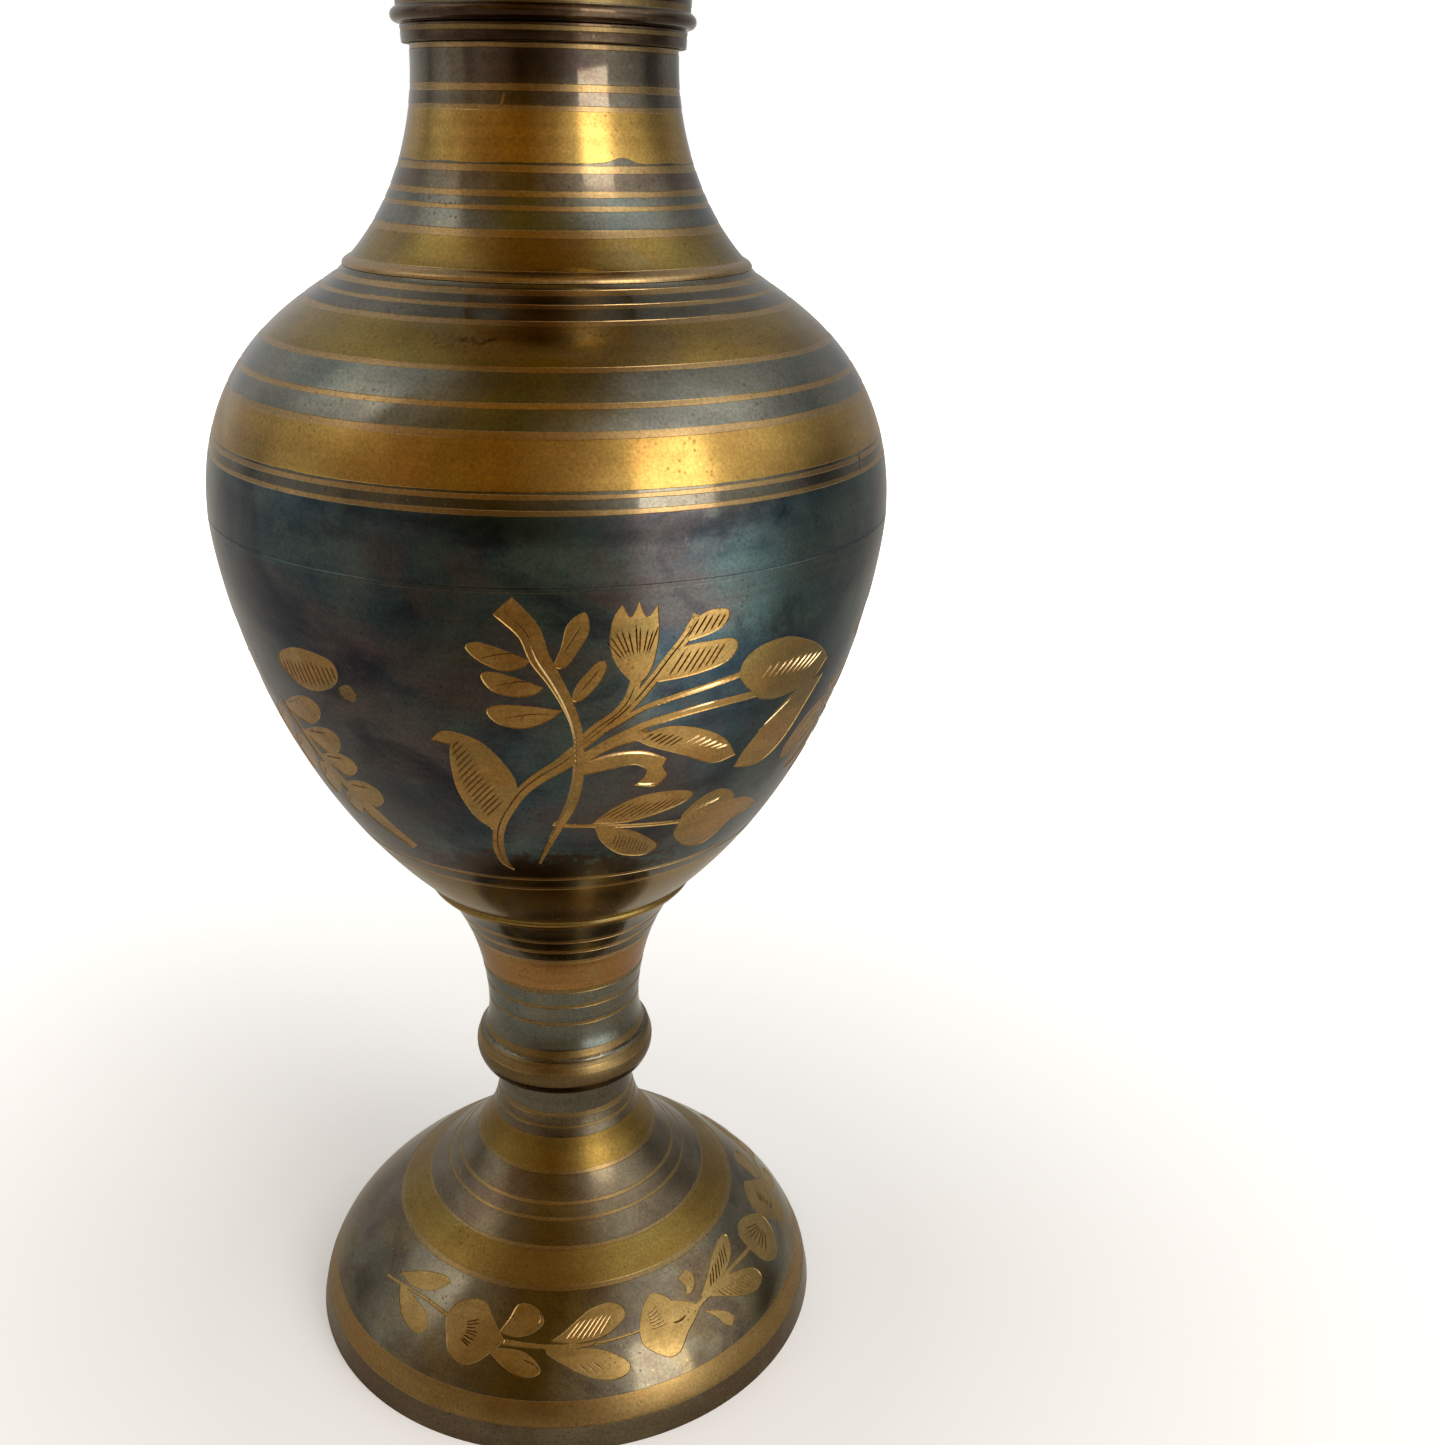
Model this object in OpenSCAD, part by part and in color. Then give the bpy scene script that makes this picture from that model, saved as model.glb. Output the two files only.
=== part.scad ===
// Footed brass vase with a knopped stem, an urn-shaped bowl and a narrow neck.
// Six turned castings: the four joints above the stem are spigot and socket, brazed, and the
// foot is held to the stem by a stud, a washer and a nut inside its hollow. The origin is the
// centre of the foot's resting face, and the axis of every part is +Z.

/* [Foot] */
// Diameter of the foot at the surface it stands on
foot_d = 84.2; // [80:0.1:90]
// Height of the plain skirt round the foot
skirt_h = 4; // [3:0.1:5]
// Diameter of the foot's neck, just below the knop
foot_neck_d = 22; // [21:0.1:23]
// Height of the foot up to the joint below the knop
foot_h = 44.2; // [43:0.1:46]
// Height of the boss face inside the foot that the washer bears on
boss_z = 33; // [32:0.1:34]

/* [Stem] */
// Height of the joint between stem and bowl
stem_top_z = 77.8; // [77:0.1:79]
// Diameter of the stem where it meets the bowl
stem_top_d = 38.8; // [38:0.1:39.5]
// Greatest diameter of the knop
knop_d = 28.8; // [28:0.1:30]
// Height of the middle of the knop
knop_z = 47.6; // [47.4:0.1:47.8]
// Narrowest diameter of the stem, above the knop
waist_d = 24.4; // [24:0.1:25]

/* [Bowl] */
// Greatest diameter of the bowl
belly_d = 95.9; // [94:0.1:98]
// Height of the greatest diameter, where the two halves meet
belly_z = 138.5; // [137:0.1:140]
// Height of the floor inside the bowl
floor_z = 80.2; // [80:0.1:81]

/* [Neck] */
// Height of the joint between shoulder and neck
shoulder_z = 170.8; // [170:0.1:172]
// Diameter of the shoulder at that joint
shoulder_d = 55.4; // [55:0.1:56]
// Narrowest diameter of the neck
neck_d = 35.1; // [34.6:0.1:36]
// Height of the neck's upper end, below the collar
neck_top_z = 198; // [197:0.1:199]

/* [Mouth] */
// Diameter of the collar that overhangs the neck
collar_d = 37.2; // [37:0.1:38]
// Greatest diameter of the bead above the collar
bead_d = 39.6; // [39.4:0.1:40]
// Diameter of the flared rim, over its rolled edge
rim_d = 68; // [60:0.5:74]
// Height of the whole vase
total_h = 248.5; // [240:0.5:260]

/* [Walls and joints] */
// Wall of the cast foot
foot_wall = 2.2; // [2:0.1:2.4]
// Wall of the stem's hollow upper part
stem_wall = 3; // [2.8:0.1:3.2]
// Wall of the two bowl halves
bowl_wall = 1.6; // [1.5:0.1:1.8]
// Wall of the neck and the mouth
neck_wall = 1.8; // [1.7:0.1:1.9]
// Length of the tongues and spigots of the brazed joints
tongue_l = 3; // [2.5:0.1:3.5]
// Thickness of the braze ring at the end of each tongue
braze_h = 0.4; // [0.3:0.1:0.5]

/* [Foot screw] */
// Diameter of the threaded stud
stud_d = 8; // [7:0.5:9]
// Width of the nut across its flats
nut_af = 13; // [12:0.5:14]
// Height of the nut
nut_h = 6.5; // [6:0.1:7]
// Diameter of the washer
washer_d = 16; // [15:0.5:18]
// Thickness of the washer
washer_h = 1.6; // [1.2:0.1:2]

/* [Hidden] */
$fn = 96;

// radii
foot_r = foot_d / 2;
foot_neck_r = foot_neck_d / 2;
stem_top_r = stem_top_d / 2;
knop_r = knop_d / 2;
waist_r = waist_d / 2;
belly_r = belly_d / 2;
shoulder_r = shoulder_d / 2;
neck_r = neck_d / 2;
collar_r = collar_d / 2;
bead_r = bead_d / 2;
rim_r = rim_d / 2;

// foot
skirt_draft = 0.9;           // the skirt leans in by this much over its height
foot_neck_z = 41;            // the sweep of the foot becomes a plain neck here
spigot_r = 7;                // the stem's spigot in the foot's socket
spigot_l = 6;
spigot_gap = 0.05;           // running clearance round the spigot
socket_gap = 0.3;            // room under the spigot, so that the outer faces seat first
stud_gap = 0.4;              // clearance of the stud in the foot

// stem
knop_curve_r = 4.9;          // radius of the knop's section
knop_low_z = 44.9;           // lower edge of the knop
knop_high_z = 50.4;          // upper edge of the knop, at the groove
knop_groove = 0.3;           // depth and width of that groove
waist_z = 55.8;              // middle of the waist
hollow_z = 61;               // bottom of the hollow in the stem's flare
stem_socket_r = 15;          // socket that takes the ring under the bowl
stem_socket_z = 75;
bowl_ring_wall = 2;
stud_hole_z = 58;            // end of the tapped hole
stud_spare = 2;              // the stud stops this far short of the hole's end

// bowl
lip = 0.35;                  // the bowl's lower edge stands proud of the stem by this much
lip_h = 1.7;

// neck
neck_lip_h = 1.3;            // height of the bright edge at the neck's foot
neck_spigot_r = 24;
neck_spigot_wall = 1.5;
shoulder_ring_wall = 3.5;    // ring turned in at the shoulder's opening
ledge = 0.8;                 // width of the ledge that holds the shoulder's braze ring

// mouth
collar_h = 2.1;
bead_z = neck_top_z + 3.3;
bead_curve_r = 0.95;
flare_z = neck_top_z + 4.4;
flare_r = 19.1;
rim_roll_r = 1.4;            // radius of the rolled rim

// foot screw
washer_z = boss_z - washer_h;
nut_z = washer_z - nut_h;
stud_z = nut_z - 2.5;        // two threads show below the nut
washer_gap = 0.2;

steps = 14;                  // straight pieces in each curved stretch

// A cubic curve between two points of an outline. Each end has a handle, which gives the
// direction of the outline there and how long it holds that direction.
function curve(a, a_handle, b_handle, b, n = steps) =
    let (p = a + a_handle, q = b - b_handle)
    [for (i = [0 : n]) let (t = i / n, s = 1 - t)
        s * s * s * a + 3 * s * s * t * p + 3 * s * t * t * q + t * t * t * b];

// Points of a circular arc in the plane of radius and height.
function arc(centre, r, from, to, n = 10) =
    [for (i = [0 : n]) let (w = from + (to - from) * i / n) centre + r * [cos(w), sin(w)]];

function reversed(points) = [for (i = [len(points) - 1 : -1 : 0]) points[i]];

// How fast the outline's radius changes with height at point i.
function lean(points, i) =
    let (a = points[max(i - 1, 0)], b = points[min(i + 1, len(points) - 1)])
    (b[0] - a[0]) / (b[1] - a[1]);

// The inner face of a wall of even thickness behind an outline that always climbs.
function inner(points, wall) =
    [for (i = [0 : len(points) - 1])
        [points[i][0] - wall * sqrt(1 + pow(lean(points, i), 2)), points[i][1]]];

function above(points, z) = [for (p = points) if (p[1] > z) p];
function below(points, z) = [for (p = points) if (p[1] < z) p];
function between(points, low, high) = above(below(points, high), low);

// Radius of an outline at a height.
function radius_at(points, z) = lookup(z, [for (p = points) [p[1], p[0]]]);

// Height at which an outline that narrows upwards reaches a radius.
function height_at(points, r) = lookup(r, reversed(points));

// ---- outlines of the outside, from the foot to the rim, as [radius, height] ----

foot_outline = concat(
    [[foot_r, 0]],
    curve([foot_r - skirt_draft, skirt_h], [-5.4, 15], [0, 16.8],
          [foot_neck_r + 0.05, foot_neck_z], 24),
    [[foot_neck_r, foot_h]]
);

knop_centre = [knop_r - knop_curve_r, knop_z];
function knop_angle(z) = asin((z - knop_z) / knop_curve_r);
cavetto_r = knop_r - 1.3;

stem_outline = concat(
    [[foot_neck_r, foot_h]],
    arc(knop_centre, knop_curve_r, knop_angle(knop_low_z), knop_angle(knop_high_z)),
    [[cavetto_r - knop_groove, knop_high_z + knop_groove]],
    curve([cavetto_r, knop_high_z + 2 * knop_groove], [-0.8, 1.6], [0, 2], [waist_r, waist_z], 6),
    curve([waist_r, waist_z], [0, 2.5], [6.4, 8], [stem_top_r, stem_top_z])
);

bowl_base_r = stem_top_r + lip;
bowl_low_outline = concat(
    [[bowl_base_r, stem_top_z]],
    curve([bowl_base_r + 0.5, stem_top_z + 0.2], [0.3, 0.3], [0, 0.2],
          [stem_top_r + 1.5, stem_top_z + lip_h - 0.4], 4),
    curve([stem_top_r + 1.35, stem_top_z + lip_h], [24.1, 22.6], [0, 4], [belly_r, belly_z], 26)
);

bowl_high_outline =
    curve([belly_r, belly_z], [0, 23.9], [-1.75, 2.9], [shoulder_r, shoulder_z], 22);

neck_low_r = shoulder_r - 1.1;
neck_outline = concat(
    [[shoulder_r + 0.2, shoulder_z]],
    curve([shoulder_r + 0.15, shoulder_z + 0.3], [-0.1, 0.4], [-0.4, 0.2],
          [neck_low_r, shoulder_z + neck_lip_h], 4),
    curve([neck_low_r - 0.1, shoulder_z + neck_lip_h + 0.1], [-7.9, 8.7], [0, 4],
          [neck_r, neck_top_z - 2], 18),
    [[neck_r, neck_top_z]]
);

bead_centre = [bead_r - bead_curve_r, bead_z];
rim_centre = [rim_r - rim_roll_r, total_h - rim_roll_r];
flare = curve([flare_r, flare_z], [0.8, 17], [9.5, 10.5], rim_centre + [0, -rim_roll_r], 18);
mouth_outline = concat(
    [[collar_r - 0.1, neck_top_z], [collar_r + 0.05, neck_top_z + collar_h],
     [collar_r - 0.25, neck_top_z + collar_h + 0.25]],
    arc(bead_centre, bead_curve_r, -75, 75, 8),
    flare
);

// ---- parts ----

// A solid turned from a closed outline.
module turned(points) rotate_extrude() polygon(points);

// A ring of rectangular section.
module ring(r_in, r_out, low, high)
    turned([[r_in, low], [r_out, low], [r_out, high], [r_in, high]]);

module bore(r, low, high) translate([0, 0, low]) cylinder(r = r, h = high - low);

// Hollow foot: the skirt and dome, and a solid neck with a socket above and a boss inside.
module foot() {
    hollow = below(inner(foot_outline, foot_wall), boss_z);
    boss_r = radius_at(foot_outline, boss_z) - foot_wall - 0.4;
    color("darkgoldenrod")
    difference() {
        turned(concat(
            foot_outline, [[0, foot_h], [0, boss_z], [boss_r, boss_z]], reversed(hollow)
        ));
        bore(spigot_r, foot_h - spigot_l - socket_gap, foot_h + 1);
        bore(stud_d / 2 + stud_gap, boss_z - 1, foot_h);
    }
}

// Stem with its knop: a spigot below, a tapped hole for the stud, and a hollow flare above.
module stem() {
    wall = inner(stem_outline, stem_wall);
    spigot = spigot_r - spigot_gap;
    color("peru")
    difference() {
        turned(concat(
            [[0, foot_h - spigot_l], [spigot, foot_h - spigot_l], [spigot, foot_h]],
            stem_outline,
            [[stem_socket_r, stem_top_z], [stem_socket_r, stem_socket_z],
             [radius_at(wall, stem_socket_z), stem_socket_z]],
            reversed(between(wall, hollow_z, stem_socket_z)),
            [[radius_at(wall, hollow_z), hollow_z], [0, hollow_z]]
        ));
        bore(stud_d / 2, foot_h - spigot_l - 1, stud_hole_z);
    }
}

// Lower half of the bowl: closed floor, ring that enters the stem, and a tongue at the belly.
module bowl_lower() {
    wall = inner(bowl_low_outline, bowl_wall);
    floor_r = radius_at(wall, floor_z + 1.5);
    tongue_r = belly_r - bowl_wall / 2;
    color("goldenrod")
    turned(concat(
        [[0, stem_top_z], [stem_socket_r - bowl_ring_wall, stem_top_z],
         [stem_socket_r - bowl_ring_wall, stem_socket_z + braze_h],
         [stem_socket_r, stem_socket_z + braze_h], [stem_socket_r, stem_top_z]],
        bowl_low_outline,
        [[tongue_r, belly_z], [tongue_r, belly_z + tongue_l - braze_h],
         [belly_r - bowl_wall, belly_z + tongue_l - braze_h]],
        reversed(above(wall, floor_z + 1.5)),
        reversed(curve([0, floor_z], [8, 0], [3, 2.5], [floor_r, floor_z + 1.5], 8))
    ));
}

// Upper half of the bowl: rebated over the tongue, with a ring turned in at its opening.
module bowl_upper() {
    rebate_r = belly_r - bowl_wall / 2;
    wall = inner(bowl_high_outline, bowl_wall);
    ring_z = shoulder_z - tongue_l - 1;
    ring_r = neck_spigot_r + shoulder_ring_wall;
    color("goldenrod")
    turned(concat(
        [[rebate_r, belly_z]],
        bowl_high_outline,
        [[neck_spigot_r + ledge, shoulder_z], [neck_spigot_r + ledge, shoulder_z - braze_h],
         [neck_spigot_r, shoulder_z - braze_h], [neck_spigot_r, ring_z], [ring_r, ring_z],
         [ring_r, height_at(wall, ring_r)]],
        reversed(between(wall, belly_z + tongue_l, height_at(wall, ring_r))),
        [[radius_at(wall, belly_z + tongue_l), belly_z + tongue_l], [rebate_r, belly_z + tongue_l]]
    ));
}

// Neck: a spigot into the shoulder, a bright lower edge, and a tongue up into the collar.
module neck() {
    wall = inner(neck_outline, neck_wall);
    spigot_in = neck_spigot_r - neck_spigot_wall;
    join_z = shoulder_z + 1.6;
    color("darkkhaki")
    turned(concat(
        [[spigot_in, shoulder_z - tongue_l - 1.6], [neck_spigot_r, shoulder_z - tongue_l - 1.6],
         [neck_spigot_r, shoulder_z]],
        neck_outline,
        [[neck_r - neck_wall / 2, neck_top_z], [neck_r - neck_wall / 2, neck_top_z + tongue_l],
         [neck_r - neck_wall, neck_top_z + tongue_l]],
        reversed(between(wall, height_at(above(wall, join_z), spigot_in), neck_top_z - 1)),
        [[spigot_in, shoulder_z + 0.6]]
    ));
}

// Mouth: a socket over the neck's tongue, the collar and bead, and the flare with its rim.
module mouth() {
    wall = above(inner(flare, neck_wall), flare_z + 1);
    socket_r = neck_r - neck_wall / 2;
    ledge_z = neck_top_z + tongue_l + braze_h;
    color("darkgoldenrod")
    turned(concat(
        [[socket_r, neck_top_z]],
        mouth_outline,
        arc(rim_centre, rim_roll_r, -60, 150, 14),
        reversed(wall),
        [[neck_r - neck_wall, ledge_z], [socket_r, ledge_z]]
    ));
}

// Threaded stud; the thread is drawn as its outer cylinder.
module foot_stud()
    color("silver") bore(stud_d / 2, stud_z, stud_hole_z - stud_spare);

module foot_washer()
    color("lightgray") ring(stud_d / 2 + washer_gap, washer_d / 2, washer_z, boss_z);

// Hexagonal nut with chamfered corners, threaded on the stud.
module foot_nut() {
    corner_r = nut_af / 2 / cos(30);
    bevel = 0.5;
    color("silver")
    difference() {
        intersection() {
            translate([0, 0, nut_z]) cylinder(r = corner_r, h = nut_h, $fn = 6);
            turned([[0, nut_z], [corner_r - 2 * bevel, nut_z], [corner_r + 0.1, nut_z + bevel],
                    [corner_r + 0.1, washer_z - bevel], [corner_r - 2 * bevel, washer_z],
                    [0, washer_z]]);
        }
        bore(stud_d / 2, nut_z - 1, washer_z + 1);
    }
}

// Braze rings: each lies between the end of a tongue and the ledge of its socket.
module stem_braze() {
    ledge_r = radius_at(inner(stem_outline, stem_wall), stem_socket_z);
    color("gainsboro") ring(ledge_r, stem_socket_r, stem_socket_z, stem_socket_z + braze_h);
}

module belly_braze()
    color("gainsboro")
    ring(belly_r - bowl_wall, belly_r - bowl_wall / 2,
         belly_z + tongue_l - braze_h, belly_z + tongue_l);

module shoulder_braze()
    color("gainsboro")
    ring(neck_spigot_r, neck_spigot_r + ledge, shoulder_z - braze_h, shoulder_z);

module collar_braze()
    color("gainsboro")
    ring(neck_r - neck_wall, neck_r - neck_wall / 2,
         neck_top_z + tongue_l, neck_top_z + tongue_l + braze_h);

foot();
stem();
bowl_lower();
bowl_upper();
neck();
mouth();
foot_stud();
foot_washer();
foot_nut();
stem_braze();
belly_braze();
shoulder_braze();
collar_braze();
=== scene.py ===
"""A footed brass vase, turned and engraved, with blackened bands.

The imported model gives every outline. Each casting is turned again here from its own outline, fine
enough for the lines that were cut on the lathe, and the flower sprays are cut into its surface.
Angles round the vase are in degrees: 0 faces the front, -Y, and they grow towards +X. Heights,
radii and depths are in millimetres, and heights start at the resting face, unless a comment says
otherwise.
"""
import math
import random
import bpy
import numpy as np
from mathutils import Matrix, Vector, kdtree
from mathutils.geometry import delaunay_2d_cdt


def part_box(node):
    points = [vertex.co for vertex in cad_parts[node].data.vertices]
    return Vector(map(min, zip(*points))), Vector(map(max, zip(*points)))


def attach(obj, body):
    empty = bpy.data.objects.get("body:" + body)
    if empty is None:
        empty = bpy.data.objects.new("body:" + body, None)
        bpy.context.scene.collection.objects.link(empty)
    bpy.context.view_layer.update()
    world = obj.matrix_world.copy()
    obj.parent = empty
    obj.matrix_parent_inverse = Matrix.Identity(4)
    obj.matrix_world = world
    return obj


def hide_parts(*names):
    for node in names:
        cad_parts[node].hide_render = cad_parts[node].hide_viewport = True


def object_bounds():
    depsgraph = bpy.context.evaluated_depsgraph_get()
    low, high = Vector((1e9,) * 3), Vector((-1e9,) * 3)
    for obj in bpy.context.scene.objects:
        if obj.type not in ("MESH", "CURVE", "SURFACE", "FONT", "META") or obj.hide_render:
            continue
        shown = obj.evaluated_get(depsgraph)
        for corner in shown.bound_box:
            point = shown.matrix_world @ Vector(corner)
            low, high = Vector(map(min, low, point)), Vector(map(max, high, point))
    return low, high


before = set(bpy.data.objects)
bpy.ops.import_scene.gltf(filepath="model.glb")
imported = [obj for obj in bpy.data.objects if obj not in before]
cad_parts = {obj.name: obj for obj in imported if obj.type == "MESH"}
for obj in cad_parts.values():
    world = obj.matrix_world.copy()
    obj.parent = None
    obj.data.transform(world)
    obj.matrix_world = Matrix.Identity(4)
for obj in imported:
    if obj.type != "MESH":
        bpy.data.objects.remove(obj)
cad_low, cad_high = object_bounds()

MM = 0.001
COLUMNS = 360               # points in each ring, one a degree
random.seed(7)


# ---- camera ----

# The photograph's camera, fitted to the vase's outline: its place in metres, how far it looks
# down, turns aside and rolls in degrees, and its lens and sensor in millimetres.
CAMERA_PLACE = (0, -0.222, 0.1902)
PITCH, YAW, ROLL = 21.45, 6.49, 1.22
LENS, SENSOR = 38.535, 36


def make_camera():
    pitch, yaw, roll = (math.radians(v) for v in (PITCH, YAW, ROLL))
    turn = Matrix.Rotation(-yaw, 3, "Z") @ Matrix.Rotation(math.pi / 2 - pitch, 3, "X")
    turn = turn @ Matrix.Rotation(roll, 3, "Z")
    data = bpy.data.cameras.new("camera")
    data.lens, data.sensor_width = LENS, SENSOR
    camera = bpy.data.objects.new("camera", data)
    camera.matrix_world = Matrix.Translation(CAMERA_PLACE) @ turn.to_4x4()
    bpy.context.scene.collection.objects.link(camera)
    bpy.context.scene.camera = camera


# ---- materials ----

GOLD, RUST = (0.46, 0.29, 0.10), (0.30, 0.13, 0.035)
MOSS, SLATE = (0.24, 0.19, 0.05), (0.16, 0.145, 0.10)
# The colour of a dark spot: a real blot of tarnish on the olive brass, and painted shade on the
# lower bowl.
STAIN_AND_SHADE = (0.06, 0.028, 0.014)

# The turned metals, as turned_metal takes them: a name, tones, roughness, marks and the rest.
TURNED = {
    "satin": ("satin_brass", [(0.32, 0.185, 0.045), (0.41, 0.25, 0.065), (0.47, 0.30, 0.085)],
              (0.15, 0.24), 1.6e-6, {"blooms": [(RUST, 35.0, 0.35), (MOSS, 55.0, 0.3)]}),
    "olive": ("olive_brass", [(0.21, 0.13, 0.03), (0.275, 0.175, 0.045), (0.33, 0.22, 0.06)],
              (0.13, 0.22), 0.9e-6, {"blooms": [(MOSS, 40.0, 0.5), (SLATE, 60.0, 0.35)],
                                     "stain_and_shade": ((-0.0095, -0.0535, 0.1650),
                                               (0.0042, 0.02, 0.0009))}),
    "dull_satin": ("foot_satin_brass", [(0.25, 0.155, 0.05), (0.32, 0.21, 0.08)],
                   (0.28, 0.4), 1.2e-6, {"blooms": [(RUST, 35.0, 0.3)]}),
    "dull_olive": ("foot_olive_brass", [(0.185, 0.115, 0.026), (0.27, 0.17, 0.043)],
                   (0.32, 0.44), 1e-6, {"blooms": [(MOSS, 40.0, 0.4)]}),
    "dull_brown": ("foot_brown", [(0.095, 0.07, 0.044), (0.155, 0.122, 0.076),
                                  (0.21, 0.18, 0.12)],
                   (0.16, 0.27), 0.8e-6, {"cloud": 60.0, "fleck": GOLD,
                                          "blooms": [((0.13, 0.09, 0.06), 40.0, 0.7)]}),
    "line": ("scraped_brass", [(0.31, 0.20, 0.085), (0.42, 0.275, 0.12)],
             (0.18, 0.28), 1.6e-6, {"pits": 0.15}),
    "faint": ("worn_line", [(0.20, 0.14, 0.06), (0.29, 0.19, 0.075)], (0.26, 0.38), 1.6e-6, {}),
    "copper": ("coppery_brass", [(0.30, 0.15, 0.045), (0.37, 0.19, 0.06), (0.39, 0.23, 0.08)],
               (0.18, 0.28), 1.6e-6, {"blooms": [((0.36, 0.24, 0.09), 60.0, 0.7)]}),
    "black": ("blackened", [(0.08, 0.072, 0.055), (0.13, 0.115, 0.085), (0.18, 0.165, 0.125)],
              (0.06, 0.14), 0.8e-6, {"cloud": 45.0, "fleck": GOLD}),
    "night": ("blackened_ground", [(0.025, 0.043, 0.056), (0.048, 0.075, 0.088),
                                   (0.076, 0.106, 0.108), (0.118, 0.145, 0.134)],
              (0.12, 0.24), 0.9e-6, {"cloud": 60.0, "pits": 0.12, "fleck": SLATE,
                                     "blooms": [((0.092, 0.142, 0.132), 26.0, 0.95),
                                                ((0.112, 0.066, 0.056), 22.0, 0.6),
                                                ((0.018, 0.024, 0.036), 40.0, 0.75)],
                                     # A dark spot of painted shade at the front of the lower bowl,
                                     # where the dark foot is mirrored.
                                     "stain_and_shade": ((-0.002, -0.0335, 0.0940),
                                               (0.0175, 0.012, 0.0042))}),
    "dusk": ("blackened_foot", [(0.10, 0.084, 0.056), (0.17, 0.147, 0.10), (0.24, 0.225, 0.17)],
             (0.09, 0.18), 0.8e-6, {"cloud": 45.0, "fleck": GOLD,
                                    "blooms": [((0.20, 0.145, 0.06), 40.0, 0.7),
                                               ((0.09, 0.055, 0.04), 50.0, 0.6)]}),
    "blue": ("blackened_grey", [(0.11, 0.105, 0.085), (0.17, 0.165, 0.13), (0.24, 0.24, 0.19)],
             (0.08, 0.17), 0.9e-6, {"cloud": 55.0, "fleck": GOLD,
                                    "blooms": [((0.13, 0.155, 0.14), 45.0, 0.6)]}),
    "brown": ("blackened_brown", [(0.10, 0.078, 0.05), (0.17, 0.14, 0.098), (0.23, 0.20, 0.15)],
              (0.06, 0.14), 0.8e-6, {"cloud": 60.0, "fleck": GOLD,
                                     "blooms": [((0.155, 0.088, 0.078), 45.0, 0.7)]}),
    "umber": ("blackened_collar", [(0.05, 0.03, 0.02), (0.10, 0.065, 0.04), (0.15, 0.105, 0.07)],
              (0.08, 0.18), 1e-6, {"cloud": 60.0, "fleck": GOLD}),
    "knop": ("polished_knop", [(0.14, 0.095, 0.04), (0.21, 0.15, 0.07)],
             (0.32, 0.45), 1e-6, {"cloud": 80.0}),
    "motif": ("engraved_brass", [(0.29, 0.16, 0.045), (0.41, 0.24, 0.075), (0.48, 0.29, 0.10)],
              (0.2, 0.34), 1.0e-6, {"cloud": 110.0, "along": 0.0, "pits": 0.6,
                                    "blooms": [((0.36, 0.18, 0.05), 90.0, 0.6),
                                               ((0.27, 0.20, 0.07), 70.0, 0.6)]}),
    "petal": ("engraved_foot_brass", [(0.25, 0.16, 0.052), (0.34, 0.225, 0.08),
                                      (0.40, 0.275, 0.10)],
              (0.3, 0.44), 1.0e-6, {"cloud": 110.0, "along": 0.0, "pits": 0.5}),
    # The cuts are painted dark: painted shade in the recess of each cut.
    "cut": ("graver_cut", [(0.16, 0.085, 0.03), (0.26, 0.15, 0.05)],
            (0.12, 0.2), 0.6e-6, {"along": 0.0, "pits": 0.1}),
    "gleam": ("bright_graver_cut", [(0.78, 0.55, 0.27), (0.92, 0.69, 0.38)],
              (0.32, 0.42), 0.4e-6, {"along": 0.0, "pits": 0.05}),
    "inside": ("inner_brass", [(0.10, 0.075, 0.03), (0.20, 0.15, 0.06), (0.28, 0.21, 0.09)],
               (0.34, 0.5), 4e-6, {"cloud": 50.0, "pits": 0.6}),
}
PLAIN = {
    "steel": ("zinc_plate", [(0.36, 0.36, 0.34), (0.55, 0.54, 0.50)], (0.3, 0.5)),
    "braze": ("braze", [(0.55, 0.47, 0.28), (0.72, 0.66, 0.45)], (0.3, 0.45)),
}


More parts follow.
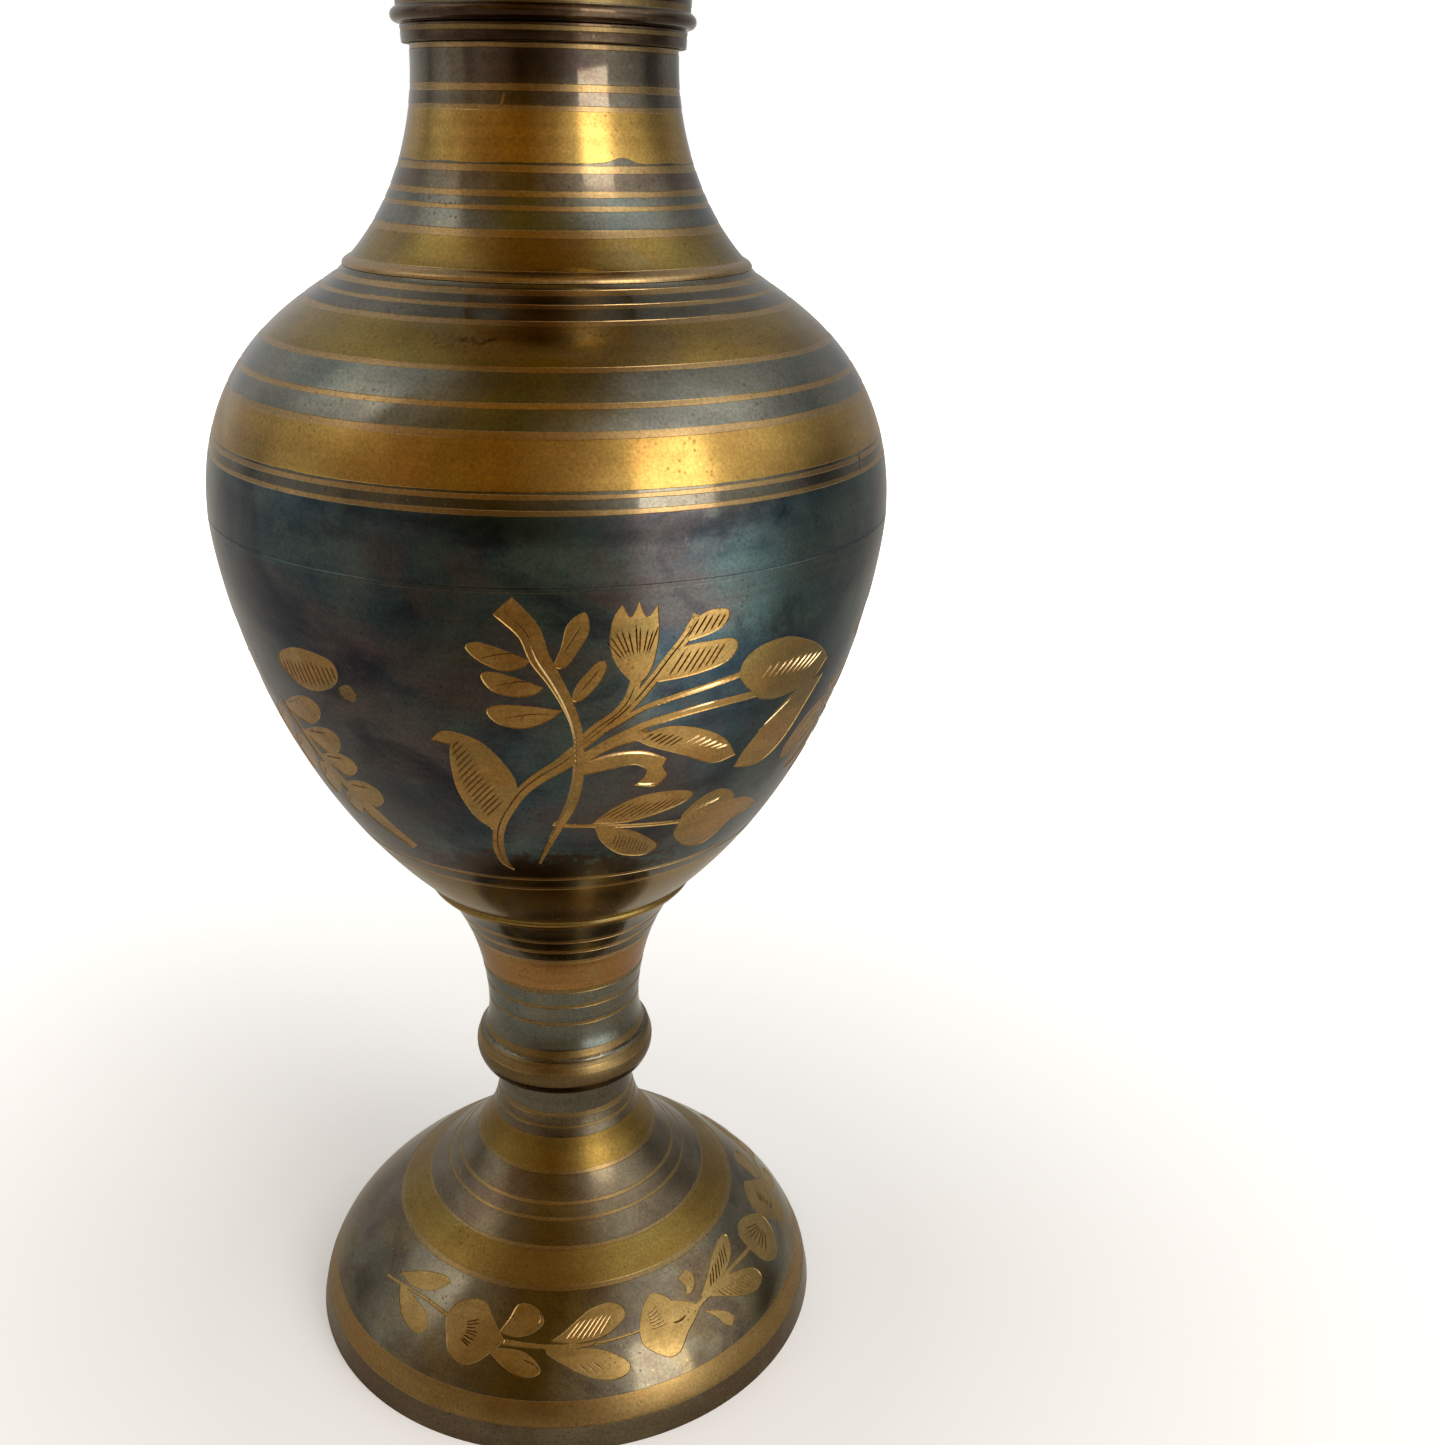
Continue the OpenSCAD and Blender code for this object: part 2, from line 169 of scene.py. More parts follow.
class Nodes:
    """Short names for making the nodes of a material or a world and joining them."""

    def __init__(self, owner):
        self.owner = owner
        owner.use_nodes = True
        self.tree = owner.node_tree
        self.shader = self.tree.nodes.get("Principled BSDF")
        where = self.add("ShaderNodeTexCoord").outputs
        self.place = where["Object"] if self.shader else where["Generated"]

    @classmethod
    def material(cls, name):
        return cls(bpy.data.materials.new(name))

    def add(self, kind, settings=None, **values):
        node = self.tree.nodes.new(kind)
        for name, value in (settings or {}).items():
            setattr(node, name, value)
        self.fill(node, **values)
        return node

    def fill(self, node, **values):
        """Sets or joins inputs by their names, written with _ for a space."""
        for name, value in values.items():
            self.put(node.inputs[name.replace("_", " ")], value)

    def put(self, socket, value):
        if isinstance(value, bpy.types.NodeSocket):
            self.tree.links.new(value, socket)
        else:
            socket.default_value = value

    def math(self, operation, *values):
        node = self.add("ShaderNodeMath", {"operation": operation})
        for socket, value in zip(node.inputs, values):
            self.put(socket, value)
        return node.outputs[0]

    def vector(self, operation, *values):
        node = self.add("ShaderNodeVectorMath", {"operation": operation})
        for socket, value in zip(node.inputs, values):
            self.put(socket, value)
        return node.outputs["Value" if operation == "LENGTH" else "Vector"]

    def mapped(self, scale, location=(0, 0, 0), place=None):
        """Coordinates stretched and moved. A large scale makes a pattern change quickly."""
        return self.add("ShaderNodeMapping", Vector=place or self.place, Location=location,
                        Scale=scale).outputs["Vector"]

    def noise(self, scale, detail=3.0, rough=0.5, place=None, warp=0.0):
        node = self.add("ShaderNodeTexNoise", Scale=scale, Detail=detail, Roughness=rough,
                        Distortion=warp, Vector=place or self.place)
        return node.outputs["Fac"]

    def spread(self, value, low, high, to_low=0.0, to_high=1.0):
        node = self.add("ShaderNodeMapRange", Value=value, From_Min=low, From_Max=high,
                        To_Min=to_low, To_Max=to_high)
        return node.outputs["Result"]

    def ramp(self, value, stops):
        node = self.add("ShaderNodeValToRGB", Fac=value)
        elements = node.color_ramp.elements
        while len(elements) < len(stops):
            elements.new(0.5)
        for element, (at, colour) in zip(elements, stops):
            element.position = at
            element.color = (*colour, 1)
        return node.outputs["Color"]

    def around(self, stops):
        """A ramp round the vase, from stops of angle and colour."""
        split = self.add("ShaderNodeSeparateXYZ", Vector=self.place).outputs
        azimuth = self.math("ARCTAN2", split["X"], self.math("MULTIPLY", split["Y"], -1.0))
        share = self.spread(azimuth, -math.pi, math.pi)
        return self.ramp(share, [((angle + 180) / 360, tone) for angle, tone in stops])

    def mix(self, share, a, b, blend="MIX"):
        node = self.add("ShaderNodeMix", {"data_type": "RGBA", "blend_type": blend})
        for index, value in ((0, share), (6, a), (7, b)):
            if isinstance(value, tuple):
                value = (*value, 1)
            self.put(node.inputs[index], value)
        return node.outputs[2]

    def mix_shaders(self, share, a, b):
        node = self.add("ShaderNodeMixShader", Fac=share)
        for socket, value in zip(node.inputs[1:], (a, b)):
            self.put(socket, value.outputs[0])
        return node.outputs[0]


def clouded(n, colour, blooms):
    """The colour with larger clouds of other tarnish."""
    for i, (tone, scale, share) in enumerate(blooms):
        place = n.mapped((1, 1, 1.6), (0.31 * (i + 1), 0.17 * i, 0.23))
        patch = n.noise(scale, 5.0, 0.6, place=place, warp=0.8)
        colour = n.mix(n.spread(patch, 0.5, 0.62, 0.0, share), colour, tone)
    return colour


def lathe_shade(n):
    """Lighter and darker rings round the vase, under a fine grain."""
    rings = n.noise(1.0, 4.0, 0.6, place=n.mapped((25.0, 25.0, 900.0)))
    grain = n.noise(2600.0, 3.0, 0.6)
    shade = n.math("MULTIPLY", n.spread(rings, 0.3, 0.7, 0.9, 1.08),
                   n.spread(grain, 0.3, 0.7, 0.78, 1.2))
    return n.add("ShaderNodeCombineColor", Red=shade, Green=shade, Blue=shade).outputs[0]


def pitted(n, pits):
    """Where the small pits are: in patches, and pits is the share of them that show."""
    cells = n.add("ShaderNodeTexVoronoi", Scale=1500.0, Vector=n.place)
    pick = n.add("ShaderNodeSeparateColor", Color=cells.outputs["Color"]).outputs[0]
    near = n.spread(cells.outputs["Distance"], 0.15, 0.42, 1.0, 0.0)
    patch = n.spread(n.noise(160.0, 3.0), 0.45, 0.62, 0.0, 0.55)
    chosen = n.math("GREATER_THAN", pick, 1.0 - pits)
    return n.math("MULTIPLY", n.math("MULTIPLY", near, chosen), patch)


def worn(n):
    """Where bare metal shows in fine specks."""
    specks = n.spread(n.noise(1500.0, 4.0, 0.7), 0.62, 0.72, 0.0, 0.8)
    return n.math("MULTIPLY", specks, n.spread(n.noise(60.0, 3.0), 0.42, 0.6))


def stained_and_shaded(n, colour, centre, reach):
    """The colour with one dark spot that has a ragged edge. On the olive brass it is a real
    blot of tarnish; on the blackened ground of the lower bowl it is painted shade.
    """
    offset = n.mapped([1 / v for v in reach], place=n.vector("SUBTRACT", n.place, centre))
    edge = n.math("ADD", n.vector("LENGTH", offset), n.spread(n.noise(900.0), 0.3, 0.7, -0.7, 0.7))
    return n.mix(n.spread(edge, 0.6, 1.1, 0.8, 0.0), colour, STAIN_AND_SHADE)


def turned_metal(name, tones, rough, marks, pits=0.3, cloud=70.0, along=0.25, fleck=None,
                 blooms=(), stain_and_shade=None):
    """Metal off a lathe. tones are the colours of its tarnish from low to high, rough the least
    and greatest roughness, marks the depth of the tool's marks in metres, cloud the scale of the
    tarnish, and along how far the gloss is drawn out across the marks. fleck is the colour of
    bare specks, blooms are clouds as (colour, scale, share), and the last is the (centre, reach)
    of a dark spot: a real blot of tarnish on the olive brass, painted shade on the blackened
    ground."""
    n = Nodes.material(name)
    steps = len(tones) - 1
    stops = [(0.3 + 0.4 * i / steps, tone) for i, tone in enumerate(tones)]
    colour = clouded(n, n.ramp(n.noise(cloud, 6.0, 0.62, warp=0.4), stops), blooms)
    colour = n.mix(1.0, colour, lathe_shade(n), "MULTIPLY")
    pit = pitted(n, pits)
    colour = n.mix(pit, colour, tuple(0.45 * part for part in tones[0]))
    if fleck:
        colour = n.mix(worn(n), colour, fleck)
    # A dark spot: a real blot of tarnish on the olive brass, painted shade on the blackened ground.
    if stain_and_shade:
        colour = stained_and_shaded(n, colour, *stain_and_shade)
    gloss = n.spread(n.noise(cloud * 2.3, 4.0, 0.6), 0.3, 0.7, *rough)
    tool = n.noise(1.0, 2.0, 0.7, place=n.mapped((12.0, 12.0, 5200.0)))
    dents = n.math("MULTIPLY", n.noise(900.0, 3.0, 0.6), 0.35)
    height = n.math("SUBTRACT", n.math("ADD", tool, dents), n.math("MULTIPLY", pit, 0.6))
    bump = n.add("ShaderNodeBump", Height=height, Strength=1.0, Distance=marks)
    tangent = n.add("ShaderNodeTangent", {"direction_type": "RADIAL", "axis": "Z"})
    n.fill(n.shader, Base_Color=colour, Metallic=1.0, Normal=bump.outputs[0],
           Roughness=n.math("ADD", gloss, n.math("MULTIPLY", pit, 0.25)),
           Anisotropic=along, Anisotropic_Rotation=0.25, Tangent=tangent.outputs[0])
    return n.owner


def plain_metal(name, tones, rough, scale=400.0):
    """Plated steel or braze: cloudy, with a fine grain and no direction."""
    n = Nodes.material(name)
    clouds = n.noise(scale, 5.0, 0.6)
    grain = n.noise(scale * 6, 3.0)
    bump = n.add("ShaderNodeBump", Height=grain, Strength=0.6, Distance=0.00002)
    n.fill(n.shader, Base_Color=n.ramp(clouds, [(0.35, tones[0]), (0.65, tones[1])]),
           Metallic=1.0, Roughness=n.spread(grain, 0.3, 0.7, *rough), Normal=bump.outputs[0])
    return n.owner


def make_materials():
    made = {paint: turned_metal(*row[:-1], **row[-1]) for paint, row in TURNED.items()}
    made.update({paint: plain_metal(*row) for paint, row in PLAIN.items()})
    return made


# ---- outlines of the castings ----

def section(node):
    """The node's outline in its half section, as a closed run of [radius, height] points, with
    the solid on the left."""
    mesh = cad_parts[node].data
    spot = {v.index: (round(v.co.x / MM, 4), round(v.co.z / MM, 4))
            for v in mesh.vertices if abs(v.co.y) < 1e-7 and v.co.x > -1e-7}
    near = {}
    for edge in mesh.edges:
        a, b = (spot.get(i) for i in edge.vertices)
        if a and b and a != b:
            near.setdefault(a, set()).add(b)
            near.setdefault(b, set()).add(a)
    ends = sorted(p for p in near if len(near[p]) == 1)
    run = [ends[0] if ends else min(near)]
    while True:
        ahead = [p for p in sorted(near[run[-1]]) if p not in run[-2:]]
        if not ahead or ahead[0] == run[0]:
            break
        run.append(ahead[0])
    if ends:
        run = run + [(0.0, run[-1][1])] + [(0.0, run[0][1])]
    points = np.array(run)
    points = points[np.r_[True, np.hypot(*np.diff(points, axis=0).T) > 1e-5]]
    after = np.roll(points, -1, axis=0)
    area = (points[:, 0] * after[:, 1] - after[:, 0] * points[:, 1]).sum()
    return points if area > 0 else points[::-1]


def halves(node, low, high):
    """The outer run of the node's outline from one joint height up to the next, and the rest of
    it back down to the start."""
    points = section(node)

    def corner(z):
        level = np.where(np.abs(points[:, 1] - z) < 0.01)[0]
        return level[points[level, 0].argmax()]

    first, last = corner(low), corner(high)
    points = np.roll(points, -first, axis=0)
    last = (last - first) % len(points)
    return points[:last + 1], np.vstack([points[last:], points[:1]])


def simplified(points, tolerance=0.002):
    """The points without those that lie on a straight line between others."""
    if len(points) < 3:
        return points
    chord = points[-1] - points[0]
    away = points - points[0]
    off = np.abs(chord[0] * away[:, 1] - chord[1] * away[:, 0]) / max(np.hypot(*chord), 1e-9)
    i = int(off.argmax())
    if off[i] < tolerance:
        return points[[0, -1]]
    return np.vstack([simplified(points[:i + 1], tolerance),
                      simplified(points[i:], tolerance)[1:]])


def flowing(points, steps=6):
    """A smooth line through a run of points."""
    p = np.array(points)
    if len(p) < 3:
        return list(p)
    d = np.hypot(*np.diff(p, axis=0).T)[:, None]
    u = np.diff(p, axis=0) / d
    inner = (u[:-1] * d[1:] + u[1:] * d[:-1]) / (d[1:] + d[:-1])
    m = np.vstack([u[:1], inner, u[-1:]])
    line = [p[0]]
    for i in range(len(p) - 1):
        for t in np.arange(1, steps + 1) / steps:
            h = (1 - t) ** 2 * (1 + 2 * t)
            line.append(h * p[i] + (1 - h) * p[i + 1]
                        + d[i] * (t * (1 - t) ** 2 * m[i] - t * t * (1 - t) * m[i + 1]))
    return line


def smoothed(points, corner=24.0, rounding=0.15):
    """A fine line through an outline, smooth where it is round and with its corners eased."""
    p = simplified(points)
    d = np.hypot(*np.diff(p, axis=0).T)
    u = np.diff(p, axis=0) / d[:, None]
    line, run = [], [p[0]]
    for i in range(1, len(p) - 1):
        if u[i - 1] @ u[i] > math.cos(math.radians(corner)):
            run.append(p[i])
            continue
        cut = min(rounding, 0.35 * d[i - 1], 0.35 * d[i])
        a, b = p[i] - u[i - 1] * cut, p[i] + u[i] * cut
        line += flowing(run + [a])
        line += [(1 - t) ** 2 * a + 2 * t * (1 - t) * p[i] + t * t * b
                 for t in (0.2, 0.4, 0.6, 0.8)]
        run = [b]
    return np.array(line + flowing(run + [p[-1]]))


class Outline:
    """A fine outline that can be asked for its radius, height and normal at a length along it."""

    def __init__(self, points):
        self.points = smoothed(points)
        steps = np.hypot(*np.diff(self.points, axis=0).T)
        self.points = self.points[np.r_[True, steps > 1e-6]]
        steps = np.hypot(*np.diff(self.points, axis=0).T)
        self.along = np.r_[0, np.cumsum(steps)]
        tangent = np.gradient(self.points, self.along, axis=0)
        self.normals = np.c_[tangent[:, 1], -tangent[:, 0]]
        self.normals /= np.hypot(*self.normals.T)[:, None]
        self.climb = np.maximum.accumulate(self.points[:, 1]) + 1e-9 * np.arange(len(self.points))

    def at(self, s):
        """Radius, height and the two parts of the normal."""
        return [np.interp(s, self.along, column)
                for column in (*self.points.T, *self.normals.T)]

    def length_to(self, z):
        return np.interp(z, self.climb, self.along)

    def stops(self, start, end, reach, bend=7.0):
        """Lengths between start and end at which a ring is needed."""
        found = []
        last, facing = start, self.normals[np.searchsorted(self.along, start)]
        for s, n in zip(self.along, self.normals):
            if not last + 0.04 < s < end - 0.04:
                continue
            if s - last >= reach or facing @ n < math.cos(math.radians(bend)):
                found.append(s)
                last, facing = s, n
        return found


# ---- turning ----

ANGLES = np.radians(np.arange(COLUMNS))
OUT_X, OUT_Y = np.sin(ANGLES), -np.cos(ANGLES)


def wander(reach, waves=(2, 9, 31, 77)):
    """A line round the vase that strays from its place by about reach, the same at both ends."""
    line = np.zeros(COLUMNS)
    for count in waves:
        for k in range(count, 2 * count, max(1, count // 3)):
            size = random.uniform(-1, 1)
            line += size * np.sin(k * ANGLES + random.uniform(0, 6.28)) / count ** 0.5
    return reach * line / np.abs(line).max()


def solid_of(radius, height, normal_r, normal_z, x=OUT_X, y=OUT_Y):
    """Points and normals round the vase, in metres."""
    ones = np.ones(len(x))
    points = np.c_[radius * x, radius * y, height * ones] * MM
    return points, np.c_[normal_r * x, normal_r * y, normal_z * ones]


class Shell:
    """A mesh being made: its points, its faces with their materials, and its corner normals."""

    def __init__(self):
        self.points, self.faces, self.paints, self.normals = [], [], [], []
        self.count = 0

    def add(self, points):
        self.points.append(points)
        self.count += len(points)
        return np.arange(self.count - len(points), self.count)

    def face(self, corners, paint, normals):
        """Faces as rows of corner numbers, with a normal at each corner."""
        self.faces += corners.tolist()
        self.paints += [paint] * len(corners)
        self.normals.append(normals.reshape(-1, 3))

    def ring(self, outline, s, depth=0.0):
        """A ring of points at a length along the outline, sunk by depth."""
        r, z, nr, nz = outline.at(s)
        if np.max(r) < 0.02:
            points, normals = solid_of(0.0, float(np.max(z)), 0.0, float(np.max(nz)),
                                       np.zeros(1), np.zeros(1))
        else:
            points, normals = solid_of(r - depth * nr, z - depth * nz, nr, nz)
        return {"ids": self.add(points), "points": points, "normals": normals,
                "s": s * np.ones(len(points))}

    def strip(self, low, high, paint, flat=False):
        """Faces between two rings. A ring on the axis is one point."""
        a, b = low["ids"], high["ids"]
        na, nb = low["normals"], high["normals"]
        if len(a) == 1 and len(b) == 1:
            return
        k = np.arange(COLUMNS)
        k1 = (k + 1) % COLUMNS
        if len(a) == 1:
            corners = np.c_[np.full(COLUMNS, a[0]), b[k1], b[k]]
            normals = np.stack([np.repeat(na, COLUMNS, 0), nb[k1], nb[k]], 1)
        elif len(b) == 1:
            corners = np.c_[a[k], a[k1], np.full(COLUMNS, b[0])]
            normals = np.stack([na[k], na[k1], np.repeat(nb, COLUMNS, 0)], 1)
        else:
            corners = np.c_[a[k], a[k1], b[k1], b[k]]
            normals = np.stack([na[k], na[k1], nb[k1], nb[k]], 1)
            if flat:
                across = np.cross(low["points"][k1] - low["points"][k],
                                  high["points"][k] - low["points"][k])
                across /= np.maximum(np.linalg.norm(across, axis=1), 1e-12)[:, None]
                normals = np.repeat(across[:, None], 4, 1)
        self.face(corners, paint, normals)

    def make(self, name, materials):
        mesh = bpy.data.meshes.new(name)
        mesh.from_pydata(np.vstack(self.points).tolist(), [], self.faces)
        used = sorted(set(self.paints))
        for paint in used:
            mesh.materials.append(materials[paint])
        index = {paint: i for i, paint in enumerate(used)}
        mesh.polygons.foreach_set("material_index", [index[p] for p in self.paints])
        mesh.polygons.foreach_set("use_smooth", [True] * len(self.faces))
        mesh.update()
        mesh.normals_split_custom_set(np.vstack(self.normals).tolist())
        piece = bpy.data.objects.new(name, mesh)
        bpy.context.scene.collection.objects.link(piece)
        return piece


SINK = {"line": 0.06, "faint": 0.06, "satin": 0.035, "olive": 0.035, "copper": 0.035,
        "dull_satin": 0.035, "dull_olive": 0.035}
WALL = 0.07                 # width of the slope between two levels
STRAY = 0.05                # how far a band's edge wanders
EASE = 0.12                 # how far from its ends a casting's edge is eased
JOINT_SINK = 0.08           # how deep the edge is at a joint
RIM_SINK = 0.04             # and at the resting face
RING_PACE = 0.8             # longest stretch without a ring
RING_GAP = 0.1              # shortest


def bands_of(outline, bands):
    """The bands as [start, end, paint, stray of the upper edge] and perhaps a slip, with the start
    and the end as lengths along the outline."""
    found, start = [], 0.0
    for band in bands:
        top, paint = band[0], band[1]
        end = float(outline.length_to(top))
        found.append([start, end, paint, *(band[2:] or (STRAY,))])
        start = end
    found[-1][1] = outline.along[-1]
    return found


def turned_face(shell, outline, bands, joints, motif=None):
    """Turns the outer face, and returns its first and last ring. joints says whether the lower
    and the upper end meet another casting there, and are eased."""
    rows = bands_of(outline, bands)
    first = shell.ring(outline, 0.0, JOINT_SINK if joints[0] else RIM_SINK)
    below = shell.ring(outline, EASE, SINK.get(rows[0][2], 0.0))
    shell.strip(first, below, rows[0][2], flat=True)
    reached = EASE
    for i, (start, end, paint, stray, *slips) in enumerate(rows):
        depth = SINK.get(paint, 0.0)
        last = i == len(rows) - 1
        if last:
            stop, shift = end - EASE, 0.0
        else:
            thin = min(end - start, rows[i + 1][1] - end)
            shift = wander(min(stray, 0.22 * thin) if stray <= STRAY else stray)
            for angle, height, width in slips:
                off = (np.degrees(ANGLES) - angle) / width
                shift = shift + height * np.exp(-off * off) * (1 + 0.5 * np.tanh(2 * off))
            gap = min(WALL, 0.3 * thin) / 2
            stop = end - gap
        filled = motif is not None and paint == "ground"
        if not filled:
            for s in outline.stops(reached, end if last else end - 0.15, RING_PACE):
                if s > reached + RING_GAP:
                    ring = shell.ring(outline, s, depth)
                    shell.strip(below, ring, paint)
                    below = ring
        ring = shell.ring(outline, stop + shift, depth)
        if filled:
            motif(shell, outline, below, ring)
        else:
            shell.strip(below, ring, paint)
        below = ring
        reached = end
        if not last:
            above = rows[i + 1][2]
            sink = SINK.get(above, 0.0)
            ring = shell.ring(outline, end + gap + shift, sink)
            wall = above if sink > depth else paint
            shell.strip(below, ring, "black" if wall == "ground" else wall, flat=True)
            below = ring
    final = shell.ring(outline, outline.along[-1], JOINT_SINK if joints[1] else 0.0)
    shell.strip(below, final, rows[-1][2], flat=joints[1])
    return first, final


def turned_back(shell, outline, first, final, paint="inside"):
    """Turns the rest of the casting, from the outer face's last ring back to its first."""
    r, z, nr, nz = outline.at(0.0)
    below = dict(final, normals=solid_of(r, z, nr, nz)[1])
    for s in outline.stops(0.0, outline.along[-1], 3.0, 12.0):
        ring = shell.ring(outline, s)
        shell.strip(below, ring, paint)
        below = ring
    r, z, nr, nz = outline.at(outline.along[-1])
    shell.strip(below, dict(first, normals=solid_of(r, z, nr, nz)[1]), paint)


# ---- engraving ----

class Chart:
    """The unrolled surface of a casting: x grows with the angle and y is the length along the
    outline, both in millimetres, and x is true to size at the chart's middle height."""

    def __init__(self, outline, middle):
        self.outline = outline
        self.degree = math.radians(float(outline.at(outline.length_to(middle))[0]))

    def put(self, points, turn=0.0):
        """Chart points for rows of angle and height."""
        p = np.array([q[:2] for q in points], float)
        return np.c_[(p[:, 0] + turn) * self.degree, self.outline.length_to(p[:, 1])]

    def squeeze(self, y):
        """How many millimetres on the metal one chart millimetre across is."""
        return math.radians(1.0) * self.outline.at(y)[0] / self.degree


def closed_line(points, sharp, pace=0.5):
    """A closed smooth line through the points, with a corner at each sharp one."""
    count = len(points)
    line = []
    for i in range(count):
        before, a, b, after = (points[(i + k) % count] for k in (-1, 0, 1, 2))
        ta = b - a if sharp[i] else (b - before) / 2
        tb = b - a if sharp[(i + 1) % count] else (after - a) / 2
        steps = max(2, round(np.hypot(*(b - a)) / pace))
        for t in np.arange(steps) / steps:
            h = (1 - t) ** 2 * (1 + 2 * t)
            line.append(h * a + (1 - h) * b + t * (1 - t) ** 2 * ta - t * t * (1 - t) * tb)
    return np.array(line)


# Where shapes overlap, the paint with the highest number shows.
CUT_ORDER = {"faint": 0, "petal": 1, "motif": 1, "cut": 2, "line": 3, "gleam": 3}
SLOPE = 0.12                # width of the slope round an engraved shape
FLOOR_DEPTH = 0.08          # how deep the shapes lie below the ground
GRID_PACE = 1.2             # spacing of the points that fill the ground between shapes
CLEARANCE = 0.35            # and how far they stay from any line


class Engraving:
    """Shapes and cuts on one casting, gathered and then made into one surface."""

    def __init__(self, chart, metal, ground):
        self.chart = chart
        self.metal, self.ground = metal, ground
        self.loops = []             # (points, paint)
        self.insets = []            # lines that only shape the walls
        self.creases = []           # (points, extra depth)

    def offset(self, line, distance, closed):
        """The line moved to its left by a distance in millimetres on the metal."""
        if closed:
            ahead, back = np.roll(line, -1, 0), np.roll(line, 1, 0)
        else:
            ahead, back = np.vstack([line[1:], line[-1:]]), np.vstack([line[:1], line[:-1]])
        squeeze = self.chart.squeeze(line[:, 1])
        d = (ahead - back) * np.c_[squeeze, np.ones(len(line))]
        d /= np.maximum(np.hypot(*d.T), 1e-9)[:, None]
        return line + np.c_[-d[:, 1] / squeeze, d[:, 0]] * np.reshape(distance, (-1, 1))

    def shape(self, points, turn=0.0, paint=None):
        """A leaf, petal or other shape given by its outline. A third value marks a corner."""
        sharp = [len(p) > 2 for p in points]
        line = closed_line(self.chart.put(points, turn), sharp)
        area = (line[:, 0] * np.roll(line[:, 1], -1) - np.roll(line[:, 0], -1) * line[:, 1]).sum()
        if area < 0:
            line = line[::-1]
        self.loops.append((line, paint or self.metal))
        self.insets.append(self.offset(line, SLOPE, True))
        return line

    def stem(self, points, widths, turn=0.0):
        """A stem along a centre line, as wide as widths say at its points."""
        centre = np.array(flowing(self.chart.put(points, turn), 5))
        half = np.interp(np.linspace(0, 1, len(centre)), np.linspace(0, 1, len(widths)),
                         widths) / 2
        self.loops.append((self.ribbon(centre, half), self.metal))
        self.insets.append(self.ribbon(centre, np.maximum(half - SLOPE, 0.02)))
        return centre

    def ribbon(self, centre, half):
        """The closed line round a centre line, at half its width to either side."""
        return np.vstack([self.offset(centre, -half, False),
                          self.offset(centre, half, False)[::-1]])

    def cut(self, centre, width=0.22, depth=0.09, paint="cut", swell=0.0):
        """A graver's cut along a chart line: a thin V, pointed at both ends. With swell it grows
        wider towards its far end."""
        t = np.linspace(0, 1, len(centre))
        half = width / 2 * np.minimum(1, 5 * np.minimum(t, 1 - t) + 0.02) * (1 - swell * (1 - t))
        self.loops.append((self.ribbon(centre, half), paint))
        self.creases.append((centre[1:-1], depth))

    def cut_along(self, points, turn=0.0, shift=0.0, **how):
        centre = np.array(flowing(self.chart.put(points, turn), 5))
        self.cut(self.offset(centre, shift, False), **how)

    def gleam(self, points, width, depth, turn=0.0, swell=0.0):
        """A bright cut that catches the window."""
        self.cut_along(points, turn, width=width, depth=depth, paint="gleam", swell=swell)

    def hatch(self, line, angle, spacing=0.62, span=(0.12, 0.62), part=(0.0, 1.0), width=0.24,
              **how):
        """Parallel cuts across a closed line, each over part of the chord there. The cuts climb
        at angle from the right, and part is the share of the shape that they cover."""
        w = math.radians(angle)
        along = np.array([math.cos(w), math.sin(w)])
        across = np.array([-math.sin(w), math.cos(w)])
        u, v = line @ along, line @ across
        low = v.min() + (v.max() - v.min()) * part[0]
        high = v.min() + (v.max() - v.min()) * part[1]
        for level in np.arange(low + spacing, high - spacing / 2, spacing):
            level += random.uniform(-0.08, 0.08) * spacing
            sides = v - level
            hits = np.where(sides * np.roll(sides, -1) < 0)[0]
            if len(hits) < 2:
                continue
            share = sides[hits] / (sides[hits] - np.roll(sides, -1)[hits])
            where = u[hits] + share * (np.roll(u, -1)[hits] - u[hits])
            start, chord = where.min(), where.max() - where.min()
            if chord < 0.9:
                continue
            a = start + chord * (span[0] + random.uniform(-0.04, 0.04))
            b = start + chord * (span[1] + random.uniform(-0.05, 0.05))
            ends = np.linspace(a, b, 6)[:, None]
            self.cut(ends * along + level * across, width=width, **how)

    def strokes(self, count, start, step, angle, length, turn=0.0, longest=9.0, **how):
        """A row of bright cuts that swell towards their far ends. step is the way from one to
        the next, and angle and length are those of the first and how much they change."""
        for k in range(count):
            begin = (start[0] + step[0] * k, start[1] + step[1] * k)
            place = self.chart.put([begin], turn)[0]
            w = math.radians(angle[0] + angle[1] * k + random.uniform(-2, 2))
            ray = np.array([math.cos(w) / self.chart.squeeze(place[1]), math.sin(w)])
            reach = min(length[0] + length[1] * k, longest)
            self.cut(place + np.linspace(0, reach, 12)[:, None] * ray, paint="gleam", swell=0.7,
                     **how)

    def fan(self, centre, reach, angles, turn=0.0, near=0.25, **how):
        """Cuts that spread from a point, like the ribs of a shell."""
        middle = self.chart.put([centre], turn)[0]
        squeeze = self.chart.squeeze(middle[1])
        for angle in angles:
            w = math.radians(angle + random.uniform(-1.5, 1.5))
            ray = np.array([math.cos(w) / squeeze, math.sin(w)])
            far = reach * random.uniform(0.9, 1.05)
            self.cut(middle + np.linspace(near * reach, far, 6)[:, None] * ray, **how)

    def gather(self, border):
        """Every point, the edges that the triangles must follow, the closed lines, their paints,
        and the extra depth of the points in a crease. The border is the first closed line."""
        points, edges, extra = [border], [], {}
        faces, paints = [list(range(len(border)))], [self.ground]
        count = len(border)
        for line, paint in self.loops:
            points.append(line)
            faces.append(list(range(count, count + len(line))))
            paints.append(paint)
            count += len(line)
        for line in self.insets:
            points.append(line)
            edges += [(count + i, count + (i + 1) % len(line)) for i in range(len(line))]
            count += len(line)
        for line, depth in self.creases:
            points.append(line)
            edges += [(count + i, count + i + 1) for i in range(len(line) - 1)]
            extra.update({count + i: depth for i in range(len(line))})
            count += len(line)
        return np.vstack(points), edges, faces, paints, extra

